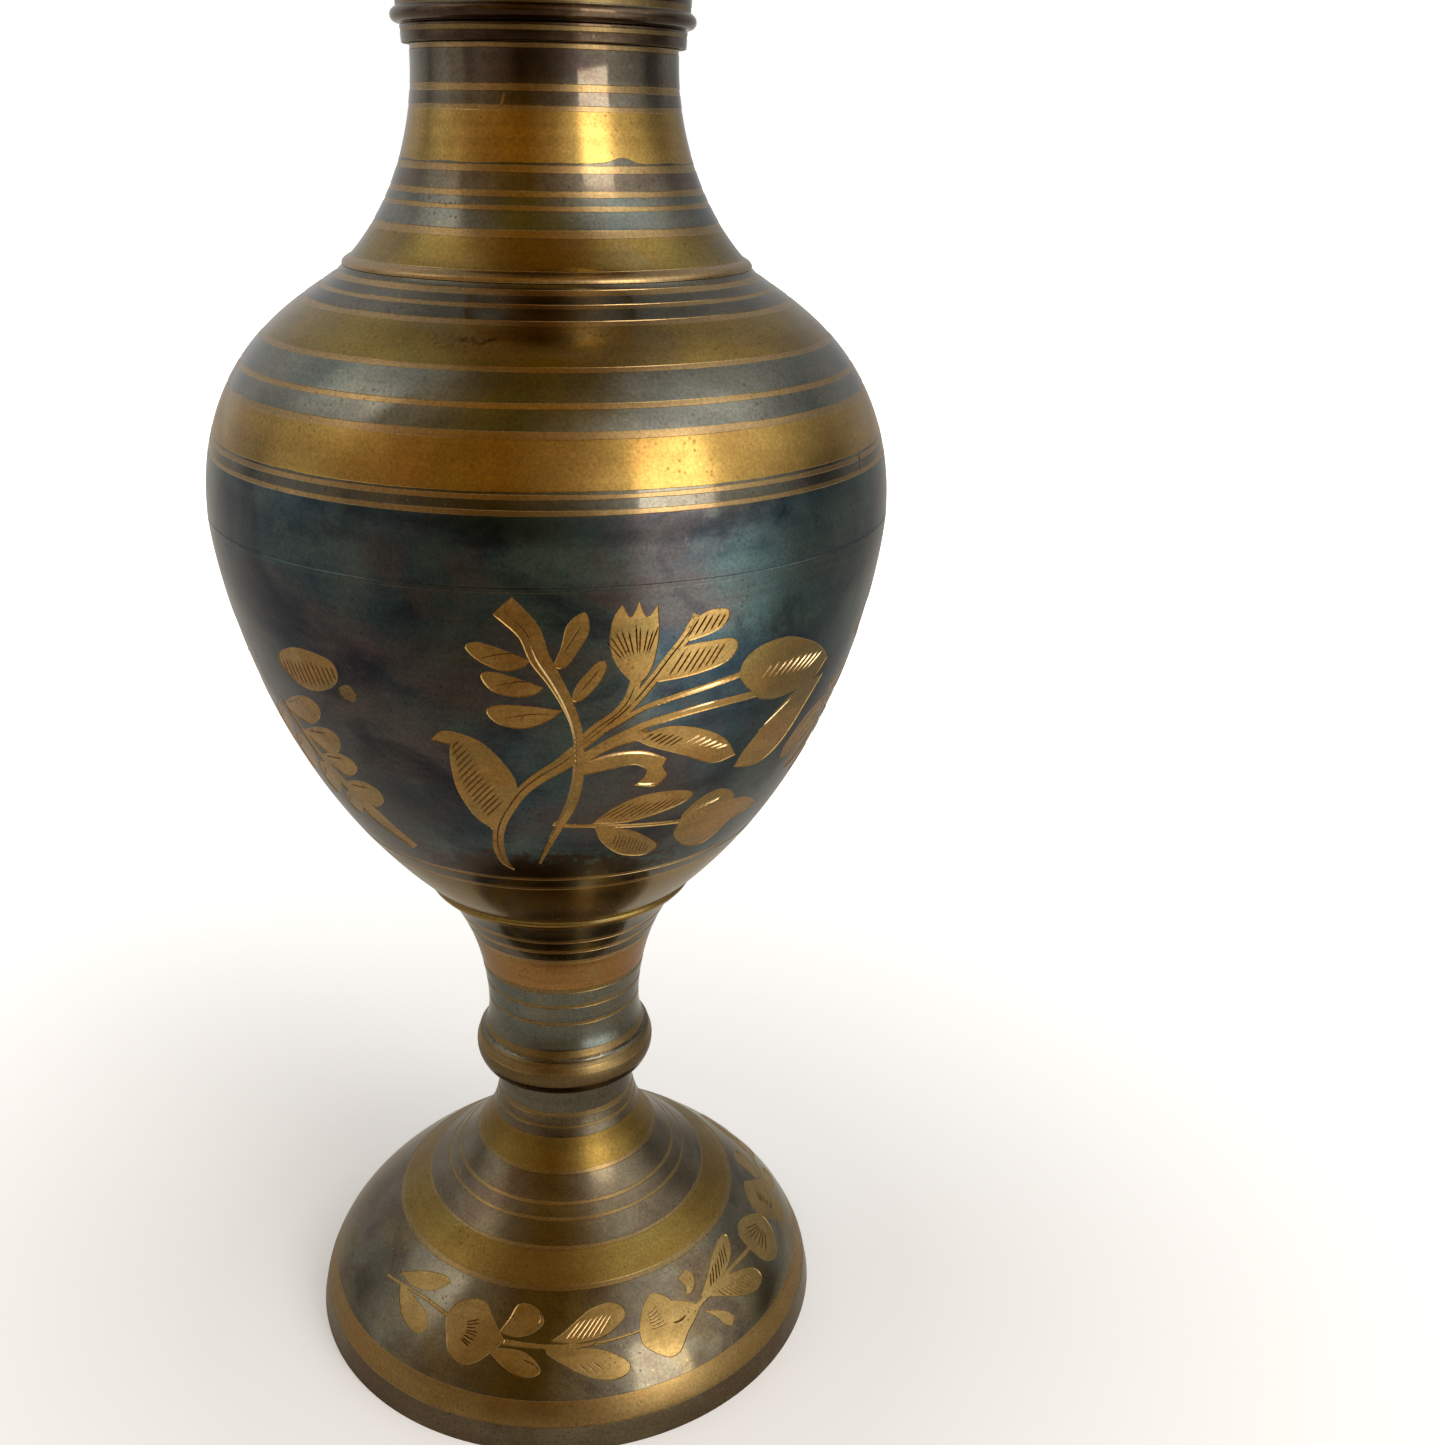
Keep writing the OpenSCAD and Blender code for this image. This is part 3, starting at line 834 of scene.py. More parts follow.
    def surface(self, shell, outline, low, high, start):
        """Makes the surface between two rings, with the seam at angle start."""
        columns = (start + np.arange(COLUMNS + 1)) % COLUMNS
        x = (start + np.arange(COLUMNS + 1)) * self.chart.degree
        lower = np.c_[x, low["s"][columns]]
        upper = np.c_[x, high["s"][columns]]
        sides = np.linspace(0, 1, 40)[1:-1, None]
        right = lower[-1] * (1 - sides) + upper[-1] * sides
        left = lower[0] * (1 - sides) + upper[0] * sides
        points, edges, faces, paints, extra = self.gather(
            np.vstack([lower, right, upper[::-1], left[::-1]]))
        points = np.vstack([points, filling(points, lower, upper)])
        made = delaunay_2d_cdt([Vector(p) for p in points], edges, faces, 0, 1e-5)
        flat, sources = np.array([tuple(v) for v in made[0]]), made[3]
        kept = [(t, set(ids) - {0}) for t, ids in zip(made[2], made[5]) if 0 in ids]

        bare = {i for t, ids in kept if not ids for i in t}
        depth = np.full(len(flat), FLOOR_DEPTH)
        depth[list(bare)] = 0.0
        for i, source in enumerate(sources):
            for k in source:
                if k in extra and i not in bare:
                    depth[i] = FLOOR_DEPTH + extra[k]
        r, z, nr, nz = outline.at(flat[:, 1])
        angle = np.radians(flat[:, 0] / self.chart.degree)
        places, normals = solid_of(r - depth * nr, z - depth * nz, nr, nz,
                                   np.sin(angle), -np.cos(angle))
        rings = low["ids"][columns], high["ids"][columns[::-1]]
        ids = numbered(shell, places, sources, rings, len(right))

        groups = {}
        for t, kinds in kept:
            paint = max((paints[k] for k in sorted(kinds)), key=CUT_ORDER.get, default=self.ground)
            level = depth[list(t)]
            sloping = bool(kinds) and (level.max() - level.min() > 0.01)
            groups.setdefault((paint, sloping), []).append(t)
        for (paint, sloping), rows in sorted(groups.items()):
            rows = np.array(rows)
            a, b, c = (places[rows[:, k]] for k in range(3))
            across = np.cross(b - a, c - a)
            size = np.linalg.norm(across, axis=1)
            inward = (across * normals[rows[:, 0]]).sum(1) < 0
            rows[inward] = rows[inward][:, ::-1]
            across[inward] *= -1
            if sloping:
                across /= np.maximum(size, 1e-15)[:, None]
                corner = np.repeat(across[:, None], 3, 1)
            else:
                corner = normals[rows]
            shell.face(ids[rows], paint, corner)


def filling(points, lower, upper):
    """A grid of points between two border lines that keeps clear of all the points."""
    taken = kdtree.KDTree(len(points))
    for i, p in enumerate(points):
        taken.insert((p[0], p[1], 0), i)
    taken.balance()
    grid = []
    left, right = lower[0, 0], lower[-1, 0]
    levels = np.arange(lower[:, 1].min() + 0.7, upper[:, 1].max() - 0.5, GRID_PACE)
    for j, y in enumerate(levels):
        for x in np.arange(left + GRID_PACE * (0.5 + 0.5 * (j % 2)), right - 0.5, GRID_PACE):
            if taken.find((x, y, 0))[2] > CLEARANCE:
                grid.append((x, y))
    return np.array(grid)


def numbered(shell, places, sources, rings, rights):
    """Adds the new points to the shell and gives every point its number there. The border starts
    with the lower ring, the right side of the seam, the upper ring and the left side. Its rings
    are in the shell already, and its left side is its right side again."""
    width = COLUMNS + 1
    fixed = dict(enumerate(rings[0]))
    fixed.update(enumerate(rings[1], width + rights))
    twin = {2 * width + rights + (rights - 1 - i): width + i for i in range(rights)}
    ids = np.full(len(places), -1)
    for i, source in enumerate(sources):
        for k in source:
            if k in fixed:
                ids[i] = fixed[k]
                break
    fresh = [i for i in range(len(places)) if ids[i] < 0]
    right_of = {k: i for i in fresh for k in sources[i] if width <= k < width + rights}
    alone = [i for i in fresh if not any(k in twin for k in sources[i])]
    ids[alone] = shell.add(places[alone])
    for i in fresh:
        for k in sources[i]:
            if k in twin and ids[i] < 0:
                ids[i] = ids[right_of[twin[k]]]
    return ids


# ---- flower sprays ----

# The middle height of each chart, the angle at which its surface is seamed, and how far each
# repeat of a motif is turned round the vase from the one in front.
BOWL_MIDDLE, BOWL_SEAM = 118.0, -270
SPRAY_TURNS, SPIKE_TURNS = (0, -120, -240), (0, 118, -122)
FOOT_MIDDLE, FOOT_SEAM = 13.0, -177
FLOWER_TURNS = (0, 112, 166, 220, 274)

# The bowl's spray. Rows are angle and height; a third value marks a corner of the outline.
SPRAY_STEM_A = [(-7.6, 136.4), (-4, 133), (-2.6, 129.5), (-0.7, 126.7), (1.5, 122.8), (2.9, 119),
                (3.2, 115.5), (3.0, 111.2), (1.7, 106.8), (-0.7, 102.9), (-4.9, 96)]
SPRAY_STEM_B = [(-11.1, 94.4), (-12.6, 95.7), (-13.3, 98.2), (-12.9, 101), (-11.6, 103.9),
                (-9.3, 106.9), (-6.9, 109.5), (-3.8, 111.8), (0.2, 114), (3.2, 116)]
TULIP_STALK = [(3, 117), (6.3, 119.6), (9.1, 121.3), (10.9, 123.3), (11.8, 125.8)]
FEATHER_RIB = [(3, 116.5), (7.7, 119.8), (10.5, 121.8), (14.3, 125.6), (17.3, 129.1),
               (19.3, 131.3), (21, 134)]
BUD_STALK_HIGH = [(3, 117), (9.3, 120), (13.8, 122), (18.4, 123), (23.9, 123.8), (30, 124.6)]
BUD_STALK_LOW = [(4, 115.2), (9.5, 117.8), (14.3, 119.4), (20.2, 120.4), (26.8, 120.9),
                 (34.5, 121)]
LEAF_STALK = [(3.2, 114.5), (9, 117), (14.5, 118)]
LOW_STALK = [(-1.5, 104), (0.6, 103.6), (5.4, 103.3), (11, 102.8), (17, 102.3), (25.5, 101.6)]
HOOK_LEAF = [(-21.5, 117, 1), (-18.5, 118.7), (-13, 117.5), (-9, 113.8), (-7.6, 110),
             (-10.5, 105.4), (-13.5, 102.5, 1), (-16.7, 105), (-18.7, 109.5), (-18.6, 114.5),
             (-18, 116.5, 1)]
LEFT_LEAVES = [
    [(-4, 129.3, 1), (-8.5, 130.9), (-11.8, 131.6), (-13.4, 130.8), (-11.5, 129), (-8, 127.8),
     (-5, 128.4)],
    [(-2.2, 125.6, 1), (-6.5, 127), (-10, 127.7), (-11.5, 127), (-10, 125), (-6.5, 124.2),
     (-3.5, 124.6)],
    [(0.6, 122.3, 1), (-5, 123), (-9.5, 123), (-11.2, 122), (-9.5, 120.2), (-5.5, 119.6),
     (-1.8, 120.7)],
]
SPRIGS = [
    [(2, 123.6, 1), (2.8, 125.9), (6, 129), (7.3, 128.4), (6.2, 126), (3.6, 123.6)],
    [(-0.8, 128.4, 1), (0.5, 131), (1.5, 134), (4, 135.5), (4.6, 133), (3, 130.5), (1, 128.2)],
]
TULIP = [(11.6, 125.2, 1), (8.6, 128.5), (7.6, 131.5), (8, 134.5), (9.3, 136.3, 1),
         (10.6, 134.6), (11.8, 136.6, 1), (13, 134.5), (14.6, 136, 1), (15, 132), (14.4, 128),
         (13.2, 126)]
FEATHER = [(14.5, 125.4, 1), (21, 125.8), (26.5, 126.8), (28.6, 128.5), (27.5, 130.1),
           (23, 130.3), (19.5, 130.2, 1)]
FEATHER_TOP = [(19, 130.5, 1), (23.5, 131.3), (26, 132.5), (26, 134.2), (22.5, 134.4),
               (19, 132.5)]
BUD = [(29.6, 124.4, 1), (30.3, 126.6), (33.5, 128.2), (38.9, 128.4), (45, 126.7), (50, 124.5),
       (53, 122.4, 1), (50.5, 120.2), (46.6, 119.5), (40, 119.2), (35.6, 119.9), (34, 121, 1),
       (31.5, 122.6)]
LONG_LEAF = [(34.2, 109.4, 1), (35.6, 112.2), (40.7, 117), (46, 119.5), (53.5, 119.9, 1),
             (50.5, 116.3), (47, 111.5), (43, 109), (38.5, 108.6)]
RIGHT_LEAF = [(12, 117.6, 1), (17.9, 118.7), (24, 117.6), (29.8, 115), (33.5, 111.6, 1),
              (28.6, 111.2), (22, 113.6), (15, 116)]
CURL = [(3, 114, 1), (8.7, 115.5), (14, 115.4), (18.8, 113.6, 1), (18.2, 112.4, 1),
        (19.3, 110.7), (17.4, 109.2), (13.4, 109.8, 1), (14.9, 111), (15.2, 112.1), (13, 113.2),
        (9.5, 113), (3, 111.9, 1)]
LOW_LEAF_UP = [(6, 103.6, 1), (10, 106.2), (15, 107.8), (21, 107.9), (25.9, 106.9), (25.4, 105.5),
               (20, 104.2), (13, 103.3)]
LOW_LEAF_DOWN = [(6.6, 103, 1), (8.5, 99.8), (13, 97), (19, 96), (21.8, 97.4), (19.5, 99.2),
                 (15, 101.4), (10, 102.6)]
LOW_BUD = [(25.2, 101.6, 1), (25.5, 103.3), (29, 105.5), (33, 106), (37.4, 104.3), (38, 103, 1),
           (43, 102.2), (49.3, 99.6, 1), (45, 98.8), (41, 98.4, 1), (38.5, 96.2), (35, 95.1),
           (29.5, 96), (25, 99)]
SHELL_LEAF = [(-51.5, 124), (-51.3, 122.6), (-47.5, 120.9), (-43, 120.8), (-38.5, 122.3),
              (-36.6, 124.2), (-37.6, 126.3), (-44, 126.8), (-49, 125.6)]
DIAMOND = [(-37.2, 122.3), (-34.8, 123.2), (-33.6, 122, 1), (-34.6, 120.8), (-36.9, 121)]
SPIKE_LEAVES = [
    [(-58, 115.4, 1), (-52.1, 118), (-46.8, 119.2), (-44.1, 118.2), (-45.3, 116.2), (-50, 114.4)],
    [(-54.5, 112.3, 1), (-46.3, 114.7), (-42.1, 114.4), (-42.8, 112), (-47.4, 110.2)],
    [(-52.5, 108.8, 1), (-44.9, 110.9), (-40.7, 110.5), (-40.7, 108.8), (-45.3, 107.1)],
    [(-49, 105, 1), (-41.4, 107), (-37.1, 106.2), (-37.5, 104), (-42.3, 102.4)],
    [(-58.5, 115, 1), (-64, 114), (-69, 110), (-68, 107), (-63.5, 108.5), (-58.5, 112.2)],
    [(-55.5, 111, 1), (-59.5, 110.6), (-64, 107), (-63, 104), (-58.5, 105), (-54.5, 108.4)],
    [(-51.5, 107.6, 1), (-55, 107), (-57.5, 103.5), (-56, 101.5), (-52.5, 102.5), (-49.5, 105)],
    [(-47.8, 103.6, 1), (-50.5, 103), (-52, 100.5), (-50, 99.2), (-47, 100.6), (-46, 102.4)],
]
SPIKE_STEM = [(-58, 117.5), (-54.5, 112.5), (-51.5, 108.5), (-47.5, 104.5), (-43, 100.5),
              (-35.6, 96)]


def engrave_spray(e, turn):
    stem = e.stem(SPRAY_STEM_A, [3.3, 2.8, 2.4, 1.8, 1.35, 1.3, 1.5, 1.5, 1.2, 0.3], turn)
    other = e.stem(SPRAY_STEM_B, [0.3, 1.2, 1.5, 1.5, 1.6, 1.6, 1.8, 2.2, 2.6], turn)
    for points, width in ((TULIP_STALK, 1.6), (FEATHER_RIB, 1.5), (BUD_STALK_HIGH, 0.9),
                          (BUD_STALK_LOW, 1.2), (LEAF_STALK, 1.5), (LOW_STALK, 0.8)):
        e.stem(points, [width, width], turn)
    e.cut(e.offset(stem[2:], -0.35, False), width=0.4, depth=0.12, paint="line")
    e.cut(e.offset(other[1:], 0.1, False), width=0.24, depth=0.09)
    e.cut_along(FEATHER_RIB, turn, width=0.22)
    e.gleam([(15.9, 122), (18.7, 122.8), (24, 123.7), (29.6, 124.3)], 0.55, 0.22, turn, 0.7)
    e.gleam([(18.8, 120.4), (23, 121), (26.6, 121.3)], 0.32, 0.13, turn, 0.6)
    e.gleam([(27, 121.3), (32, 121.3)], 0.42, 0.12, turn)
    e.cut_along(TULIP_STALK, turn, width=0.18)
    e.cut_along(LOW_STALK[1:], turn, shift=0.12, width=0.3, depth=0.1)

    hook = e.shape(HOOK_LEAF, turn)
    e.hatch(hook, 48, 0.72, (0.12, 0.62), part=(0.1, 0.85), width=0.26)
    for leaf in LEFT_LEAVES:
        line = e.shape(leaf, turn)
        low, high = line.min(0), line.max(0)
        t = np.linspace(0.12, 0.8, 8)
        rib = np.c_[high[0] - (high[0] - low[0]) * t,
                    low[1] + (high[1] - low[1]) * (0.5 + 0.12 * np.sin(5 * t))]
        e.cut(rib, width=0.16, depth=0.06)
        side = rib[4] + np.linspace(0, 1, 5)[:, None] * np.array([-0.5, -0.9])
        e.cut(side, width=0.16, depth=0.05)
    for sprig in SPRIGS:
        line = e.shape(sprig, turn)
        low, high = line.min(0), line.max(0)
        e.cut(low + (high - low) * np.linspace(0.25, 0.8, 6)[:, None], width=0.3, depth=0.06)
    e.shape(TULIP, turn)
    e.fan((12.2, 126.2), 7.5, range(72, 130, 6), turn, near=0.45, width=0.2)
    feather = e.shape(FEATHER, turn)
    e.hatch(feather, 62, 0.75, (0.1, 0.85), part=(0.18, 0.95), width=0.26)
    e.hatch(e.shape(FEATHER_TOP, turn), 62, 0.75, (0.1, 0.85), width=0.26)
    e.shape(BUD, turn)
    e.strokes(9, (34.8, 122.9), (1.45, -0.11), (54, -2.6), (2.6, 0.22), turn, 3.7,
              width=0.42, depth=0.17)
    e.gleam([(30.8, 126.2), (32.7, 127.3)], 0.3, 0.12, turn)
    e.shape(LONG_LEAF, turn)
    e.gleam([(37.4, 114.5), (41.8, 116.8), (44.3, 118.1)], 0.26, 0.1, turn)
    e.hatch(e.shape(RIGHT_LEAF, turn), 32, 0.68, (0.12, 0.6), part=(0.62, 0.98), width=0.26)
    e.strokes(6, (21.4, 115.4), (1.35, -0.38), (26, -4), (2.9, -0.14), turn,
              width=0.42, depth=0.18)
    e.shape(CURL, turn)
    e.gleam([(4.5, 114.2), (8.7, 115.1), (14, 115), (18.3, 113.7)], 0.36, 0.17, turn)
    e.gleam([(13.8, 110), (15.4, 109.7), (17.4, 109.6)], 0.34, 0.15, turn)
    e.hatch(e.shape(LOW_LEAF_UP, turn), 34, 0.66, (0.12, 0.7), width=0.22)
    e.hatch(e.shape(LOW_LEAF_DOWN, turn), 82, 0.66, (0.15, 0.75), part=(0.1, 0.75), width=0.2)
    e.shape(LOW_BUD, turn)
    e.strokes(5, (26.9, 102.4), (1.1, 0.25), (56, -7), (2.1, 0), turn, width=0.42, depth=0.2)
    e.cut_along([(40.5, 101.2), (44.5, 101.6)], turn, width=0.25)


def engrave_spike(e, turn):
    shell_leaf = e.shape(SHELL_LEAF, turn)
    e.hatch(shell_leaf, 100, 0.9, (0.08, 0.7), width=0.3)
    e.shape(DIAMOND, turn, "faint")
    e.stem(SPIKE_STEM, [0.6, 1.5, 2.0, 2.6, 4.0, 1.8], turn)
    for leaf in SPIKE_LEAVES:
        e.shape(leaf, turn)
        (a, z), (b, y) = leaf[0][:2], leaf[2][:2]
        rib = [(a + (b - a) * t, z + (y - z) * t) for t in (0.25, 0.5, 0.75)]
        e.cut_along(rib, turn, width=0.3)


def engrave_bowl(shell, outline, low, high):
    e = Engraving(Chart(outline, BOWL_MIDDLE), "motif", "night")
    for turn in SPRAY_TURNS:
        engrave_spray(e, turn)
    for turn in SPIKE_TURNS:
        engrave_spike(e, turn)
    e.surface(shell, outline, low, high, BOWL_SEAM)


# The foot's trail, from left to right.
FOOT_LEAF_1 = [(-57, 15.2, 1), (-50, 16.8), (-43, 17.6), (-38.8, 17.3), (-43, 15.8), (-50, 15)]
FOOT_LEAF_2 = [(-55, 14.6, 1), (-48, 14.4), (-42, 13.8), (-39, 12.4), (-41.5, 11.3), (-48, 12)]
FLOWER = [(-17.3, 13.6, 1), (-22, 15.6), (-25.5, 16.8), (-30, 16.7), (-34, 15.8), (-35.2, 14.3),
          (-33, 12.5), (-31, 11), (-27.5, 10.2), (-23.5, 10.8), (-20, 12.3)]
FLOWER_PETAL = [(-19.5, 14.3, 1), (-17.3, 15.8), (-15.5, 17.2), (-12, 17.3), (-8.5, 16.6),
                (-7.6, 15.6), (-11, 14.5), (-15, 14.1)]
FLOWER_LEAF = [(-22, 12.6, 1), (-16, 12.9), (-11, 12.6), (-7.4, 11), (-10, 10.1), (-15, 10.6)]
PAIR_UP = [(-5.5, 13.9, 1), (-2, 14.8), (2.2, 16), (6.1, 16.8), (11.5, 17.1), (15, 16.5),
           (15.2, 15.5), (11.6, 14.5), (7.5, 13.9), (1, 13.6)]
PAIR_DOWN = [(-7, 13.2, 1), (-1, 13.2), (5.7, 13), (10, 12.3), (13.4, 11.2), (14, 10.4),
             (12.8, 9.6), (9.1, 9.3), (4, 10), (-2, 11.6)]
HEART = [(25, 16.8), (28.8, 15.9), (29.6, 15.4, 1), (33.3, 14.7), (37.1, 13.5, 1), (34.5, 12.8),
         (30.5, 11.7), (28.7, 10.9), (26.8, 10.1), (24.1, 9.9), (21.4, 10.7), (18.9, 11.7, 1),
         (17.8, 12.6), (18.1, 13.8), (19.3, 15.1), (21.9, 16.3)]
HEART_CURL = [(34, 15.2, 1), (35.3, 15.9), (34.2, 17, 1), (37.9, 17.3), (39.5, 16.5),
              (38.6, 15.7), (36.2, 15.1)]
SIDE_UP = [(37.6, 14.2, 1), (43.6, 15.7), (50, 17), (56.6, 17.5), (59, 17), (56, 15.6),
           (50, 14.7), (43, 14)]
SIDE_DOWN = [(40, 13.8, 1), (47, 14.4), (53.6, 13.7), (58.5, 12.5), (59, 11), (55, 10.5),
             (49.5, 11.4), (44.5, 12.8)]
SIDE_HOOK = [(36.4, 12.9, 1), (39, 12.5), (42.5, 11.5), (44.2, 10.2), (42.5, 9.4, 1),
             (40.6, 10.2), (39.5, 11.4)]
END_FLOWER = [(62.2, 14), (62.6, 15.8), (66.5, 16.6), (72, 16), (77, 14.4), (76, 12.5), (72, 11),
              (67.6, 10.5), (63.5, 11.8)]
TRAIL_STEM = [(-17.5, 13.5), (-8, 13.4), (0, 13.35), (6, 13.45), (13, 13.6), (19.6, 13.8)]


def engrave_flower(e, turn):
    e.shape(FLOWER, turn)
    e.fan((-33.5, 13.6), 5.2, range(-24, 30, 7), turn, near=0.55, width=0.22)
    e.shape(FLOWER_PETAL, turn)
    e.cut_along([(-9.2, 15.4), (-8.4, 16), (-9, 16.7)], turn, width=0.3, depth=0.1)
    e.shape(FLOWER_LEAF, turn)
    e.cut_along([(-12, 12), (-9.5, 11.6), (-8, 11)], turn, width=0.3, depth=0.1)
    e.stem(TRAIL_STEM[:4], [0.9, 0.7, 0.8, 0.5], turn)
    e.hatch(e.shape(PAIR_UP, turn), 46, 0.62, (0.14, 0.72), part=(0.2, 0.85), width=0.3,
            depth=0.05, paint="line")
    e.shape(PAIR_DOWN, turn)
    e.hatch(e.shape([(q[0] * 0.86 - 0.3, 11.4 + (q[1] - 11.4) * 0.8) for q in PAIR_DOWN], turn),
            136, 0.8, (0.2, 0.6), part=(0.25, 0.75), width=0.24, depth=0.05, paint="line")


def engrave_foot(shell, outline, low, high):
    e = Engraving(Chart(outline, FOOT_MIDDLE), "petal", "dusk")
    for turn in FLOWER_TURNS:
        engrave_flower(e, turn)
    e.stem(TRAIL_STEM[3:], [0.5, 0.4])
    e.shape(FOOT_LEAF_1)
    e.shape(FOOT_LEAF_2)
    e.stem([(-60, 14), (-50, 14.7), (-42, 14.8), (-34.5, 14.4)], [0.4, 0.7])
    e.shape(HEART)
    for k in range(6):
        rib = [(21.2, 13.5 + 0.3 * k), (23.4, 13.5 + 0.36 * k), (25.6 - 0.2 * k, 13.5 + 0.4 * k)]
        e.cut_along(rib, width=0.26, depth=0.05, paint="line")
    e.cut_along([(27.4, 13.3), (29.3, 13.2), (31.8, 13.4)], width=0.34)
    e.shape(HEART_CURL)
    e.stem([(35, 13.6), (40, 14), (52, 14.5), (62.5, 14.2)], [0.9, 0.7])
    e.hatch(e.shape(SIDE_UP), 50, 0.62, (0.15, 0.75), part=(0.15, 0.85), width=0.24)
    e.hatch(e.shape(SIDE_DOWN), 120, 0.62, (0.15, 0.75), part=(0.15, 0.85), width=0.24)
    e.shape(SIDE_HOOK)
    e.shape(END_FLOWER)
    e.fan((75.6, 13.8), 6.0, range(150, 212, 9), near=0.3, width=0.26)
    e.surface(shell, outline, low, high, FOOT_SEAM)


# ---- the pieces ----

# Bands of each casting, from the bottom up: the height of the band's upper edge, its paint and,
# where it is more than usual, how far that edge strays, and a slip of the tool there as its angle,
# height and width in degrees. "ground" is what the sprays are cut in.
BANDS = {
    "foot": [
        (3.9, "dull_brown"), (4.1, "faint"), (7.45, "dull_satin"), (18.6, "ground"),
        (19.1, "faint"), (22.35, "dull_olive"), (22.7, "faint"), (25.15, "dull_brown"),
        (25.5, "faint"),
        (26.8, "dull_brown"), (27.2, "faint"), (30.3, "dull_brown"), (30.8, "faint"),
        (35.3, "dull_olive"), (36.75, "dull_brown"), (37.25, "faint"), (38.6, "dull_brown"),
        (39.4, "faint"), (44.2, "black")],
    "stem": [
        (45.0, "black"), (46.4, "umber"), (48.5, "knop"), (49.8, "faint"), (50.4, "knop"),
        (50.75, "black"), (52.1, "faint"), (56.55, "blue"), (57.1, "faint"), (59.8, "blue"),
        (60.4, "faint"),
        (62.8, "blue"), (63.6, "faint"), (69.1, "copper"), (69.8, "line"), (71.4, "black"),
        (72.1, "line"), (73.8, "black"), (74.5, "line"), (77.8, "black")],
    "bowl_lower": [
        (78.4, "line"), (89.8, "olive"), (90.45, "line"), (92.15, "black"), (92.75, "line"),
        (137.9, "ground"), (138.5, "night")],
    "bowl_upper": [
        (146.9, "night"), (147.45, "line"), (148.65, "black"), (149.2, "line"),
        (149.6, "black", 0.18), (155.1, "satin"), (155.9, "line"), (158.2, "blue"),
        (158.8, "line"), (161.9, "blue"), (162.45, "line"), (166.5, "olive"), (167.0, "line"),
        (168.2, "black"), (168.6, "line"), (169.5, "black"), (170.1, "line"), (170.8, "black")],
    "neck": [
        (172.1, "line"), (175.7, "olive"), (176.6, "line"), (178.75, "blue"), (179.3, "line"),
        (180.3, "blue"), (181.0, "line"), (183.1, "brown"), (183.95, "line"),
        (184.25, "black", 0.14, (27, 0.6, 6)), (190.2, "satin"), (190.8, "line"), (192.4, "brown"),
        (193.25, "line"), (197.25, "brown"), (197.8, "line"), (198.0, "black")],
    "mouth": [
        (199.2, "umber"), (199.75, "faint"), (200.5, "umber"), (202.1, "umber"),
        (202.35, "black"), (203.1, "faint"), (206.4, "umber"), (207.0, "line"), (208.4, "blue"),
        (209.0, "line"), (216.5, "satin"), (217.1, "line"), (218.6, "brown"), (219.2, "line"),
        (224.0, "blue"), (224.6, "line"), (230.5, "olive"), (231.1, "line"), (233.0, "brown"),
        (233.6, "line"), (241.0, "black"), (241.6, "line"), (248.5, "satin")],
}
ENGRAVED = {"foot": engrave_foot, "bowl_lower": engrave_bowl}

# Scratches down to bright metal, as rows of angle and height.
SCRATCHES = {"neck": [(-16.6, 192.3), (-16.9, 191.6), (-17.6, 191.0), (-18.4, 190.5)],
             "bowl_upper": [(58.9, 149.6), (58.7, 148.4), (58.3, 147.2)]}
SCRATCH_HALF = 0.19         # half their greatest width
SCRATCH_LIFT = 0.02         # how far they stand off the metal


def joint_heights():
    """Heights of the joints between the castings, and of the two ends of the vase."""
    low = [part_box(node)[0].z for node in ("foot", "bowl_upper", "mouth")]
    high = [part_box(node)[1].z for node in ("foot", "stem", "bowl_upper", "mouth")]
    heights = [low[0], high[0], high[1], low[1], high[2], low[2], high[3]]
    return [z / MM for z in heights]


def make_scratch(node, outline, materials):
    """A thin bright sliver that lies on the surface."""
    line = np.array(flowing(SCRATCHES[node], 4))
    r, z, nr, nz = outline.at(outline.length_to(line[:, 1]))
    half = SCRATCH_HALF * np.sin(np.linspace(0.15, 3.0, len(line)))
    shell = Shell()
    sides = []
    for side in (-1, 1):
        w = np.radians(line[:, 0]) + side * half / r
        sides.append(solid_of(r + SCRATCH_LIFT * nr, z + SCRATCH_LIFT * nz, nr, nz,
                              np.sin(w), -np.cos(w)))
    (a, na), (b, nb) = sides
    ia, ib = shell.add(a), shell.add(b)
    up = slice(1, None) if line[0, 1] < line[-1, 1] else slice(None, -1)
    down = slice(None, -1) if line[0, 1] < line[-1, 1] else slice(1, None)
    shell.face(np.c_[ia[down], ib[down], ib[up], ia[up]], "line",
               np.stack([na[down], nb[down], nb[up], na[up]], 1))
    piece = shell.make(node + "_scratch", materials)
    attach(piece, "root")


def make_castings(materials):
    heights = joint_heights()
    for i, (node, bands) in enumerate(BANDS.items()):
        outer, back = halves(node, heights[i], heights[i + 1])
        shell = Shell()
        outline = Outline(outer)
        if node in SCRATCHES:
            make_scratch(node, outline, materials)
        ends = turned_face(shell, outline, bands, (i > 0, i < len(BANDS) - 1), ENGRAVED.get(node))
        turned_back(shell, Outline(back), *ends)
        piece = shell.make(node + "_finished", materials)
        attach(piece, "root")
        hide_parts(node)


def dress_small_parts(materials):
    """The screw parts and braze rings keep their CAD shape and take their metal."""
    for name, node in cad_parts.items():
        if name in BANDS:
            continue
        paint = "braze" if name.endswith("braze") else "steel"
        node.data.materials.clear()
        node.data.materials.append(materials[paint])


# ---- light and floor ----

WARM = (1.0, 0.58, 0.09)
